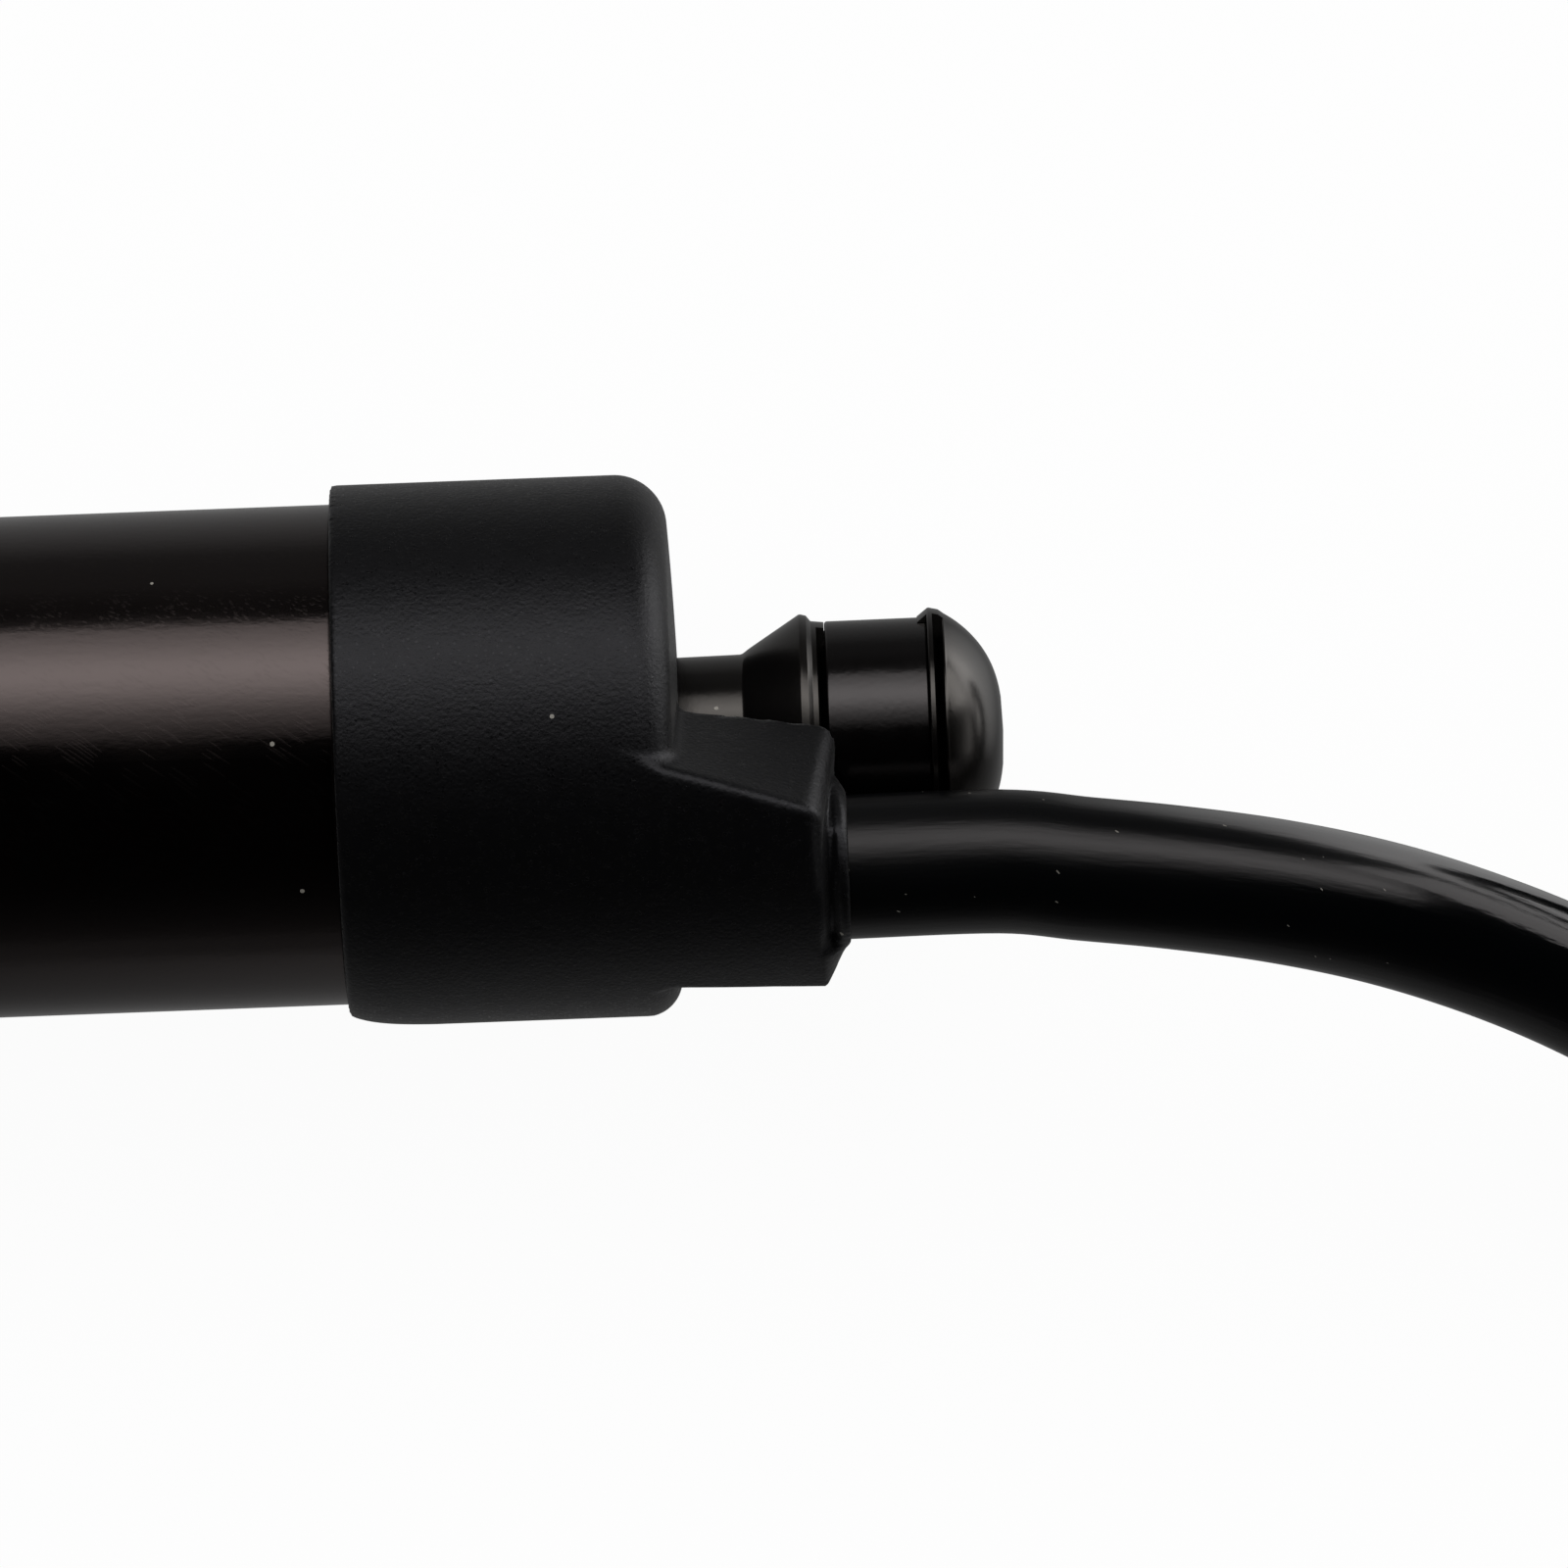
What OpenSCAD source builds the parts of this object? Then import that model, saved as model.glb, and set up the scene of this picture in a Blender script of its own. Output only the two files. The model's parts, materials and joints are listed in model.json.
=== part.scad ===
// Powered tailgate strut: an electric spindle drive with a ball socket at each end.
// Millimetres. The strut lies along X. The origin is the centre of the ball that the
// motor-end socket holds, +X points outwards past that socket, and the strut lies on
// a surface below it in -Z. Stations, s_..., are distances from the origin towards -X.

/* [Strut] */
// Travel of the sliding tube
stroke = 280; // [180:10:340]
// Outside diameter of the housing tube
tube_od = 35; // [35:0.5:44]
// Wall of the housing tube
tube_wall = 1.5; // [1:0.1:1.8]
// Length of sliding tube that shows between the mouth and the rod end when closed
rod_show = 25; // [10:1:60]

/* [End cap] */
// From the ball centre to the cap's end face
ball_to_cap = 14; // [13:0.5:20]
// Length of the cap
cap_len = 23.7; // [20:0.1:34]
// Wall of the cap over the tube
cap_wall = 1.6; // [1.2:0.1:2.5]
// Thickness of the cap's end wall
cap_end = 2.5; // [2:0.1:4]
// Radius round the cap's outer edge
cap_round = 2.9; // [1:0.1:3]
// How far the cap's end face rises to its middle
cap_crown = 0.4; // [0:0.1:0.8]
// From the ball centre to the tip of the cable boss
boss_tip = 3.9; // [3.6:0.1:6]
// Half width of the boss at its tip, where it is widest
boss_tip_half = 8.5; // [7.5:0.1:9]
// The same at its root, on the side that flares
boss_root_half = 12.4; // [10:0.1:13]
// The same at its root, on the side that runs straight
boss_back_half = 8; // [7:0.1:9]
// Radius of the fillet between the boss and the cap's end face
boss_fillet = 1.1; // [0.6:0.1:1.6]
// Turn of the boss from straight up
boss_turn = 41.5; // [30:0.5:60]

/* [Ball sockets] */
// Diameter of the ball that each socket takes
ball_d = 10; // [8:0.5:10.5]
// Largest diameter of the socket, over the ridge beside its nose
socket_d = 17.6; // [17:0.1:20]
// Diameter of the socket's waist, under the clip
waist_d = 14.8; // [14.5:0.1:16]
// Diameter of the socket's stem
stem_d = 11.8; // [10:0.1:12]
// Width of the retaining clip
clip_w = 7; // [5:0.1:7.2]
// Thickness of the retaining clip
clip_t = 0.6; // [0.4:0.1:0.8]

/* [Spindle] */
// Outside diameter of the spindle
spindle_d = 10; // [8:0.5:10]
// Length of the spindle nut
nut_len = 18; // [14:1:24]
// Wall of the push tube
push_wall = 1.5; // [1:0.1:2]
// Wire diameter of the lift spring
spring_wire = 2.8; // [2:0.1:2.8]
// Number of turns of the lift spring
spring_turns = 50; // [40:1:52]

/* [Gearbox] */
// Gear module of both planetary stages
gear_module = 0.7; // [0.58:0.01:0.75]
// Teeth of the sun gears
sun_teeth = 12; // [12:3:15]
// Teeth of the planet gears
planet_teeth = 12; // [12:1:12]
// Face width of the first stage's planets
face_1 = 8.5; // [6:0.5:12]
// Face width of the second stage's planets
face_2 = 12; // [8:0.5:16]

/* [Motor] */
// Length of the motor's steel can
can_len = 69; // [60:1:90]
// Diameter of the motor shaft
shaft_d = 4; // [3:0.1:4.2]
// Length of the laminated core
core_len = 40; // [30:1:56]

/* [Cable] */
// Outside diameter of the jacketed cable
cable_d = 10; // [8:0.5:10]
// Half the length of the hank's straight runs
hank_half = 75; // [75:1:90]
// Radius of the hank's inner fold, to the cable's centre
fold_inner = 30; // [30:1:36]

/* [Hidden] */
$fn = 72;
cut = 1;         // how far a cutting tool runs past what it cuts
run_fit = 0.05;  // radial clearance of a running fit
air = 0.4;       // gap between pieces that pass each other without touching

// Radii of the tubes, from the outside in
tube_ro = tube_od / 2;
tube_ri = tube_ro - tube_wall;
cap_ro = tube_ro + cap_wall;
slide_ro = tube_ri - 0.5;
slide_ri = slide_ro - 1;
spring_air = 0.35;                      // between the lift spring and the sliding tube
spring_mean = slide_ri - spring_air - spring_wire * cos(30) / 2;
spindle_r = spindle_d / 2;
push_ri = spindle_r + 1.5;
push_ro = push_ri + push_wall;
nut_ro = push_ro + 1.4;
guide_ri = nut_ro + air;
guide_ro = guide_ri + 1.2;
key_h = 0.8;     // height of the guide tube's keys
key_w = 2.4;     // and their width

// Stations of the motor end
seat_gap = ball_to_cap + cap_end;       // from a ball centre to the plug its socket sits on
flange_t = 2;
s_tube = seat_gap + flange_t;           // the housing tube starts here
plug_len = 9;
s_board = s_tube + plug_len + 4;
board_t = 1.6;
s_bell = s_board + board_t + 5;
bell_t = 3;
s_can = s_bell + bell_t;
can_ro = tube_ri - 1.5;
can_ri = can_ro - 1.2;
s_can_end = s_can + can_len;
can_nose = 3.5;                         // the can's bearing nose
nose_r = 6;
bush_r = 4.5;
shaft_r = shaft_d / 2;
s_core = s_can + 19;
core_r = can_ri - 2.4;
slots = 8;
slot_pitch_r = 7.2;
slot_r = 2;
comm_r = 5;
comm_len = 8;
s_comm = s_can + 3;

// Gearbox: stations, then the gears' own circles
s_plate = s_can_end;
plate_t = can_nose + 0.5;
s_ring = s_plate + plate_t;
s_planet_1 = s_ring + 2;
arm_t = 3.5;                            // thickness of a carrier's plate
s_arm_1 = s_planet_1 + face_1 + 0.5;
s_planet_2 = s_arm_1 + arm_t + 1;
s_arm_2 = s_planet_2 + face_2 + 0.5;
s_ring_end = s_arm_2 + arm_t + 3;
ring_teeth = sun_teeth + 2 * planet_teeth;
planet_path_r = gear_module * (sun_teeth + planet_teeth) / 2;
ring_tip_r = gear_module * (ring_teeth / 2 - 1);
arm_r = ring_tip_r - air;
pressure_angle = 25;
backlash = 0.1;                         // taken off each tooth's width at the pitch circle
planet_pin_r = 1.5;
planet_turns = [0, 120, 240];
hex_af = 7;                             // across the flats of the spindle's drive end
hub_r = 6;

// Bearing and its cover
ball_r = 1.9;
ball_path_r = 9.5;
race_gap = 0.1;
balls = 8;
bearing_w = 8;
race_ro = 13;
cover_t = 11;
s_cover = s_ring_end;
s_bearing = s_cover + 0.5;
s_cover_end = s_cover + cover_t;
spigot_len = 5;
hub_len = s_bearing + bearing_w + 1 - s_arm_2 - arm_t;

// Spindle, nut and tubes
s_nut = s_cover_end + 8;
nut_collar = 10;                        // the keyed part of the nut
s_stop = s_nut + nut_len + stroke + 0.5;
stop_len = 6.5;
s_spindle_end = s_stop + stop_len + 1.5;
s_guide_end = s_spindle_end + 6;
s_rod_plug = s_guide_end + 33.5;
rod_plug_len = 12;
rod_flange_t = 3;
ball_to_ball = s_rod_plug + rod_plug_len + rod_flange_t + seat_gap;
s_mouth = s_rod_plug + rod_plug_len - rod_show;
s_slide = s_cover_end + 12;
tube_len = s_mouth - s_tube;
seat_t = 2;
s_spring = s_cover_end + seat_t;
s_spring_end = s_rod_plug;
spring_len = s_spring_end - s_spring;

// Ball sockets: a turned body whose ridges hold the clip
socket_r = socket_d / 2;
waist_r = waist_d / 2;
stem_r = stem_d / 2;
ball_bore_r = ball_d / 2 + run_fit;
ridge_in = 5.2;                         // the ridge beside the stem, from the ball centre
ridge_in_r = socket_r - 0.15;
ridge_out = 3.9;                        // the ridge beside the nose
waist_edge = clip_w / 2 + 0.1;          // the waist's end beside the nose
groove_edge = clip_w / 2 + 0.65;        // its end beside the stem, a groove wider than the clip
shoulder_r = waist_r + clip_t + 0.1;
nose_len = 4.8;
socket_face = 6.4;                      // the face round the ball's mouth, below the centre
ball_bore_len = 4.8;
mouth_r = 6.9;

// Cable boss: its outlines are drawn along and across the direction it points in
cable_r = cable_d / 2;
cable_cover = 0.3;                      // from the cable out to the cap's own radius
cable_path_r = cap_ro - cable_r - cable_cover;
boss_clear_r = socket_r + 0.5;
boss_round = 1.2;
boss_inner = 6;
boss_tip_halves = [boss_tip_half, 6.8, boss_tip_half, 6.8];  // flared side: outer, inner; other side
boss_root_halves = [boss_root_half, 7.9, boss_back_half, 6.3];
boss_tip_tilt = 7;
neck_len = 1.4;
neck_r = cable_r + 0.2;
s_neck = boss_tip - neck_len;
wire_hole_r = 2.4;
wire_path_r = tube_ri - wire_hole_r - 1.3;
wire_r = 0.65;
seal_r = 0.5;                           // half thickness of the plug's seal

// Cable: its free stretch lies on points chosen by hand, [x, y, z]
floor_z = -cap_ro;
strap_t = 1.4;
lying_z = floor_z + cable_r;
tied_z = lying_z + strap_t;
exit_y = -cable_path_r * sin(boss_turn);
exit_z = cable_path_r * cos(boss_turn);
strand = cable_d + 0.5;                 // from one strand to the next beside it
fold_outer = fold_inner + strand / 2;
hank_y = -32;                           // the first run, at the folds
hank_x = 168;                           // the waist
hank_start = hank_x - hank_half;
lead_points = [
    [-s_neck, exit_y, exit_z], [8, exit_y, exit_z], [14, -9.9, 10.5], [20, -10.7, 9.8],
    [27, -11.9, 8.2], [34, -13.6, 5.8], [40.5, -15.8, 3], [47, -18.6, -0.4],
    [54, -22.3, -4.4], [61, -26, -8.4], [68, -29.1, -11.6], [75, -31.2, -13.4],
    [82, hank_y, lying_z], [hank_start, hank_y, lying_z],
];

// ---- Helpers ----

// Children at a station, their own +Z towards the rod end
module along(s) translate([-s, 0, 0]) rotate([0, -90, 0]) children();

// Children at a station, their own +Z towards the motor-end ball
module facing(s) translate([-s, 0, 0]) rotate([0, 90, 0]) children();

module tube(ro, ri, len) difference() {
    cylinder(r = ro, h = len);
    translate([0, 0, -cut]) cylinder(r = ri, h = len + 2 * cut);
}

// A turned disc with both edges rounded
module rounded_disc(r, len, c) rotate_extrude() {
    square([r - c, len]);
    translate([0, c]) square([r, len - 2 * c]);
    for (z = [c, len - c]) translate([r - c, z]) circle(c);
}

module round_copies(n, r, start = 0)
    for (i = [0 : n - 1]) rotate(start + i * 360 / n) translate([r, 0, 0]) children();

module rounded_rect(w, h, c) {
    square([w - 2 * c, h], center = true);
    square([w, h - 2 * c], center = true);
    for (x = [-1, 1], y = [-1, 1]) translate([x * (w / 2 - c), y * (h / 2 - c)]) circle(c);
}

// Involute gear outlines: each tooth is two flanks of steps + 1 points
function base_r(teeth) = gear_module * teeth / 2 * cos(pressure_angle);
function involute(a) = tan(a) * 180 / PI - a;
function half_tooth(teeth, r, width_gain) =
    90 / teeth + width_gain * 90 / (PI * gear_module * teeth / 2) + involute(pressure_angle)
    - involute(acos(min(1, base_r(teeth) / r)));
function flank(teeth, r0, r1, width_gain, steps = 5) =
    [for (i = [0 : steps]) let (r = r0 + (r1 - r0) * i / steps) [r, half_tooth(teeth, r, width_gain)]];
function gear_points(teeth, root_r, tip_r, width_gain) =
    let (start_r = max(root_r, base_r(teeth)), side = flank(teeth, start_r, tip_r, width_gain),
         n = len(side))
    [for (t = [0 : teeth - 1]) each let (a = t * 360 / teeth, low = side[0][1])
        [if (start_r > root_r) root_r * [cos(a - low), sin(a - low)],
         for (p = side) p[0] * [cos(a - p[1]), sin(a - p[1])],
         for (i = [n - 1 : -1 : 0]) side[i][0] * [cos(a + side[i][1]), sin(a + side[i][1])],
         if (start_r > root_r) root_r * [cos(a + low), sin(a + low)]]];
module outer_gear(teeth) polygon(gear_points(teeth,
    gear_module * (teeth / 2 - 1.25), gear_module * (teeth / 2 + 1), -backlash));
module inner_gear_gap(teeth) polygon(gear_points(teeth,
    gear_module * (teeth / 2 - 1), gear_module * (teeth / 2 + 1.25), backlash));

// Turn that puts a planet in mesh with the sun, whose first tooth points along X
function planet_phase(turn) =
    turn + 180 - (0.5 - turn * sun_teeth / 360) * 360 / planet_teeth;

// Turn that puts a gap of the ring gear's tooth spaces clear of the planets' gaps
ring_phase = (1 + planet_phase(0) * planet_teeth / 360) * 360 / ring_teeth;

// A tube of straight-sided rings swept along points, closed at both ends
function unit(v) = v / norm(v);
function heading(p, i) = unit(p[min(i + 1, len(p) - 1)] - p[max(i - 1, 0)]);
function sweep_ring(c, t, r, sides, turn) =
    let (across = unit(cross(t, abs(t[2]) > 0.9 ? [1, 0, 0] : [0, 0, 1])), up = cross(across, t))
    [for (k = [0 : sides - 1]) let (a = turn + k * 360 / sides) c + r * (cos(a) * across + sin(a) * up)];
module swept(p, r, sides, turn = 0, first = undef, last = undef) {
    n = len(p);
    rings = [for (i = [0 : n - 1]) each sweep_ring(p[i],
        i == 0 && first != undef ? first : i == n - 1 && last != undef ? last : heading(p, i),
        r, sides, turn)];
    walls = [for (i = [0 : n - 2], k = [0 : sides - 1]) each
        let (a = i * sides + k, b = i * sides + (k + 1) % sides)
        [[a, b, a + sides], [b, b + sides, a + sides]]];
    start_face = [for (k = [1 : sides - 2]) [0, k + 1, k]];
    z = (n - 1) * sides;
    end_face = [for (k = [1 : sides - 2]) [z, z + k, z + k + 1]];
    polyhedron(rings, concat(start_face, end_face, walls));
}

// A point on the curve through four points, and a chain of them resampled finely
function spline(a, b, c, d, t) = 0.5 * (2 * b + (c - a) * t + (2 * a - 5 * b + 4 * c - d) * t * t
    + (3 * b - a - 3 * c + d) * t * t * t);
function smooth_path(p, n) = let (m = len(p) - 1) [
    for (i = [0 : m - 1], k = [0 : n - 1]) spline(p[max(i - 1, 0)], p[i], p[i + 1],
        p[min(i + 2, m)], k / n),
    p[m]];

// Least distance between points of a path that lie more than skip places apart
function least_gap(p, skip, d) =
    min([for (i = [0 : len(p) - 1], j = [i + skip : 1 : len(p) - 1]) norm(p[i] - p[j])]) - d;

// ---- Housing and cap ----

module housing_tube() color("#1b1a1a") along(s_tube) tube(tube_ro, tube_ri, tube_len);

// One outline of the boss, in the plane across the strut
module boss_outline(halves, inset) offset(r = boss_round) offset(delta = -boss_round - inset)
    intersection() {
        circle(cap_ro);
        polygon([[boss_inner, -halves[3]], [boss_inner, halves[1]],
            [cap_ro + 1, halves[0]], [cap_ro + 1, -halves[2]]]);
    }

// An outline near the tip, tilted about the cable
module boss_tip_slab(z, inset) translate([cable_path_r, 0, z]) rotate([0, -boss_tip_tilt, 0])
    translate([-cable_path_r, 0, 0]) linear_extrude(0.1) boss_outline(boss_tip_halves, inset);

// A thin slice of the boss at a station, grown by a margin
function boss_halves(s) = boss_tip_halves
    + (boss_root_halves - boss_tip_halves) * (s - boss_tip) / (ball_to_cap + 1 - boss_tip);
module boss_slice(s, grow) translate([0, 0, s - s_neck]) linear_extrude(0.05)
    boss_outline(boss_halves(s), -grow);

// Fillet at the boss's root, in three steps; d is the distance off the cap's face in fillet radii
fillet_d = [0, 0.2, 0.5, 1];
module fillet_slice(d) boss_slice(ball_to_cap - d * boss_fillet, (1 - sqrt(1 - pow(1 - d, 2))) * boss_fillet);
module boss_root() intersection() {
    cylinder(r = cap_ro, h = ball_to_cap + 1 - s_neck);
    rotate(-boss_turn) for (i = [0 : len(fillet_d) - 2]) hull() {
        fillet_slice(fillet_d[i]);
        fillet_slice(fillet_d[i + 1]);
    }
}

// The boss tapers from the cap to its tip, and its tip draws in to the cable
module boss_body() rotate(-boss_turn) hull() {
    translate([0, 0, ball_to_cap + 1 - s_neck]) linear_extrude(0.1) boss_outline(boss_root_halves, 0);
    boss_tip_slab(boss_tip - s_neck + 1, 0);
    boss_tip_slab(boss_tip - s_neck, 0.8);
    translate([cable_path_r, 0, 0]) cylinder(r = neck_r, h = 0.1);
}

module end_cap() color("#202226") difference() {
    union() {
        facing(ball_to_cap + cap_len) rotate_extrude() {
            polygon([[0, 0], [cap_ro - 0.15, 0], [cap_ro, cap_len / 2], [cap_ro, cap_len - cap_round],
                [cap_ro - cap_round, cap_len], [0, cap_len + cap_crown]]);
            translate([cap_ro - cap_round, cap_len - cap_round]) circle(cap_round);
        }
        along(s_neck) difference() {
            union() {
                boss_body();
                boss_root();
            }
            translate([0, 0, -cut]) cylinder(r = boss_clear_r, h = ball_to_cap - s_neck + cut);
        }
    }
    along(seat_gap) cylinder(r = tube_ro, h = cap_len);
    along(ball_to_cap - cap_crown - cut) cylinder(r = stem_r, h = cap_crown + cap_end + 2 * cut);
    along(s_neck - cut) wire_bore(seat_gap);
}

module wire_bore(len) rotate(-boss_turn) translate([wire_path_r, 0, 0]) cylinder(r = wire_hole_r, h = len);

// ---- Ball sockets ----

// Half outline of the socket, [radius, distance from the ball centre]; the nose is one curve
function socket_outline() = [
    [0, -seat_gap], [stem_r, -seat_gap], [stem_r, -9.3], [stem_r + 0.5, -9],
    [ridge_in_r, -ridge_in], [ridge_in_r, -ridge_in + 0.2], [shoulder_r, -groove_edge],
    [waist_r, -groove_edge], [waist_r, waist_edge], [socket_r - 0.1, waist_edge], [socket_r, ridge_out],
    for (i = [1 : 14]) let (t = i / 14) [socket_r * pow(1 - pow(t, 1.23), 0.35), ridge_out + nose_len * t],
];

module ball_socket() difference() {
    rotate([0, 90, 0]) rotate_extrude() polygon(socket_outline());
    translate([0, 0, -socket_r]) cylinder(r = ball_bore_r, h = socket_r);
    sphere(ball_bore_r);
    translate([0, 0, -socket_r - cut]) cylinder(r = mouth_r, h = socket_r + cut - socket_face);
    translate([0, 0, -socket_face - 0.01])
        cylinder(r1 = ball_bore_r + 0.9, r2 = ball_bore_r, h = socket_face - ball_bore_len);
    for (y = [-1, 1]) translate([-2, y > 0 ? ball_bore_r + 0.5 : -socket_r, -4.6])
        cube([4, socket_r - ball_bore_r - 0.5, 1.4]);
    translate([-seat_gap - cut, 0, 0]) rotate([0, 90, 0]) cylinder(r = 4, h = 7 + cut);
}

// Spring band open towards the ball's mouth, with a lug through each of the socket's slots
module retaining_clip() difference() {
    union() {
        rotate([0, 90, 0]) translate([0, 0, -clip_w / 2]) tube(waist_r + clip_t, waist_r, clip_w);
        for (y = [-1, 1]) translate([-1.9, y > 0 ? ball_bore_r + 0.6 : -waist_r - 0.2, -4.4])
            cube([3.8, waist_r + 0.2 - ball_bore_r - 0.6, 1]);
    }
    translate([-clip_w, -mouth_r + 0.9, -socket_r]) cube([2 * clip_w, 2 * mouth_r - 1.8, socket_r - 4.4]);
    translate([-clip_w, -ball_bore_r, -socket_r]) cube([2 * clip_w, 2 * ball_bore_r, socket_r]);
    translate([-clip_w, -socket_r, -socket_r - 4.4]) cube([2 * clip_w, 2 * socket_r, socket_r]);
}

module motor_end_socket() color("#161617") ball_socket();
module motor_end_clip() color("#1a1a1c") retaining_clip();
module rod_end_socket() color("#161617") translate([-ball_to_ball, 0, 0]) rotate(180) ball_socket();
module rod_end_clip() color("#1a1a1c") translate([-ball_to_ball, 0, 0]) rotate(180) retaining_clip();

// ---- Motor-end plug, wires and board ----

module motor_end_plug() color("#8d9094") difference() {
    union() {
        along(seat_gap) cylinder(r = tube_ro, h = flange_t);
        along(s_tube) cylinder(r = tube_ri, h = plug_len);
        facing(seat_gap) cylinder(r = 4, h = 6.5);
    }
    along(s_tube + 4) difference() {
        cylinder(r = tube_ri + cut, h = 2);
        translate([0, 0, -cut]) cylinder(r = tube_ri - 2 * seal_r, h = 2 + 2 * cut);
    }
    along(s_tube + 3) cylinder(r = 7, h = plug_len);
    along(0) wire_bore(s_board);
}

module plug_seal() color("#111111") along(s_tube + 5) rotate_extrude() translate([tube_ri - seal_r, 0]) circle(seal_r);

module lead_wires() color("#a03020") along(s_neck) rotate(-boss_turn) translate([wire_path_r, 0, 0])
    round_copies(5, wire_hole_r - wire_r - 0.1) cylinder(r = wire_r, h = s_board - s_neck);

module sensor_board() color("#1f5a33") along(s_board) difference() {
    cylinder(r = tube_ri - 2, h = board_t);
    translate([0, 0, -cut]) cylinder(r = shaft_r + 1, h = board_t + 2 * cut);
    round_copies(3, 11, 90) translate([0, 0, -cut]) cylinder(r = 1, h = board_t + 2 * cut);
}

module hall_sensors() color("#1c1c1c") along(s_board + board_t)
    round_copies(2, 6.2, 0) translate([-1.5, -2, 0]) cube([3, 4, 1.4]);

module suppressor_parts() color("#6d4a2a") facing(s_board) {
    for (y = [-1, 1]) translate([8, y * 5, 0]) cylinder(r = 2, h = 3.4);
    translate([2.4, -1.5, 0]) cube([3, 3, 3]);
}

// ---- Motor ----

module brush_holder() color("#2b2b2b") difference() {
    union() {
        along(s_bell) cylinder(r = can_ro, h = bell_t);
        along(s_can) tube(can_ri, can_ri - 1, 2.5);
        along(s_board + board_t) round_copies(3, 11, 90) cylinder(r = 1.8, h = s_bell - s_board - board_t + 0.5);
        for (y = [-1, 1]) along(s_can) translate([-3, y > 0 ? 6 : -11, -0.5]) cube([6, 5, 9.5]);
    }
    along(s_bell - cut) cylinder(r = bush_r - 0.5, h = bell_t + 2 * cut);
    for (y = [-1, 1]) along(s_comm + 1.5) translate([-2, y > 0 ? 5 : -12, 0]) cube([4, 7, 4]);
}

module carbon_brushes() color("#3a3a3c") for (y = [-1, 1]) along(s_comm + 1.5) difference() {
    translate([-2, y > 0 ? comm_r - 0.5 : -9.5, 0]) cube([4, 10 - comm_r, 4]);
    translate([0, 0, -cut]) cylinder(r = comm_r + run_fit, h = 4 + 2 * cut);
}

module brush_springs() color("#b9bcc0") for (y = [-1, 1]) along(s_comm + 2) translate([0, y * 10.9, 0]) tube(1.4, 1, 3);

module rear_bush() color("#9a7a45") along(s_bell) tube(bush_r - 0.5, shaft_r + run_fit, 4);

module motor_can() color("#7d8084") difference() {
    union() {
        along(s_can) cylinder(r = can_ro, h = can_len);
        along(s_can_end) cylinder(r = nose_r, h = can_nose);
    }
    along(s_can - cut) cylinder(r = can_ri, h = can_len - 1.2 + cut);
    along(s_can) cylinder(r = bush_r, h = can_len + can_nose + cut);
    along(s_can_end - 2) round_copies(2, 10) cylinder(r = 1.25, h = 3);
}

module field_magnets() color("#4a4a4e") along(s_core - 4) for (a = [0, 180]) rotate(a - 60)
    rotate_extrude(angle = 120) translate([core_r + air, 0]) square([can_ri - core_r - air, core_len + 8]);

module front_bush() color("#9a7a45") along(s_can_end - 1.2) tube(bush_r, shaft_r + run_fit, can_nose + 1.2);

module rear_damper() color("#151515") along(s_bell) tube(tube_ri, can_ro, 6);
module front_damper() color("#151515") along(s_can_end - 8) tube(tube_ri, can_ro, 8);

module motor_shaft() color("#c4c7cb") along(s_board + board_t + 1) cylinder(r = shaft_r,
    h = s_planet_1 + face_1 - s_board - board_t - 1);

module sensor_magnet() color("#2e2e31") along(s_board + board_t + 2) tube(bush_r, shaft_r, 2);

module commutator() color("#b87333") along(s_comm) difference() {
    tube(comm_r, shaft_r, comm_len);
    round_copies(slots, comm_r) translate([-0.6, -0.15, -cut]) cube([2, 0.3, comm_len + 2 * cut]);
}

module armature_core() color("#8a8c90") along(s_core) difference() {
    tube(core_r, shaft_r, core_len);
    translate([0, 0, -cut]) round_copies(slots, slot_pitch_r) {
        cylinder(r = slot_r, h = core_len + 2 * cut);
        translate([0, -0.6, 0]) cube([core_r, 1.2, core_len + 2 * cut]);
    }
}

module armature_windings() color("#c06a2b") {
    along(s_core - 3) round_copies(slots, slot_pitch_r) cylinder(r = slot_r - 0.1, h = core_len + 6);
    for (s = [s_core - 4.5, s_core + core_len + 0.5]) along(s) difference() {
        rounded_disc(slot_pitch_r + slot_r, 4, 1.2);
        translate([0, 0, -cut]) cylinder(r = slot_pitch_r - slot_r, h = 4 + 2 * cut);
    }
}

// ---- Gearbox ----

module external_gear(teeth, face, bore) difference() {
    linear_extrude(face) outer_gear(teeth);
    translate([0, 0, -cut]) cylinder(r = bore, h = face + 2 * cut);
}

module sun_gear_1() color("#b5a27a") along(s_planet_1) external_gear(sun_teeth, face_1, shaft_r);

module gearbox_plate() color("#3b3d40") difference() {
    along(s_plate) cylinder(r = tube_ri, h = plate_t);
    along(s_plate - cut) cylinder(r = nose_r, h = can_nose + cut);
    along(s_plate - cut) cylinder(r = shaft_r + 1, h = plate_t + 2 * cut);
    along(s_plate - cut) round_copies(2, 10) cylinder(r = 1.25, h = plate_t + 2 * cut);
    along(s_plate + 2) round_copies(2, 10) cylinder(r = 2.4, h = plate_t);
}

module gearbox_screws() color("#a5a8ac") along(s_plate) round_copies(2, 10) {
    translate([0, 0, -1.2]) cylinder(r = 1.25, h = 3.2);
    translate([0, 0, 2]) difference() {
        cylinder(r = 2.2, h = 1.6);
        translate([0, 0, 0.8]) cylinder(r = 1.1, h = 1, $fn = 6);
    }
}

module ring_gear() color("#d8d2c4") along(s_ring) linear_extrude(s_ring_end - s_ring) difference() {
    circle(tube_ri);
    rotate(ring_phase) inner_gear_gap(ring_teeth);
}

module planet(s, face, turn) along(s) rotate(turn) translate([planet_path_r, 0, 0])
    rotate(planet_phase(turn) - turn) external_gear(planet_teeth, face, planet_pin_r + run_fit);

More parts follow.
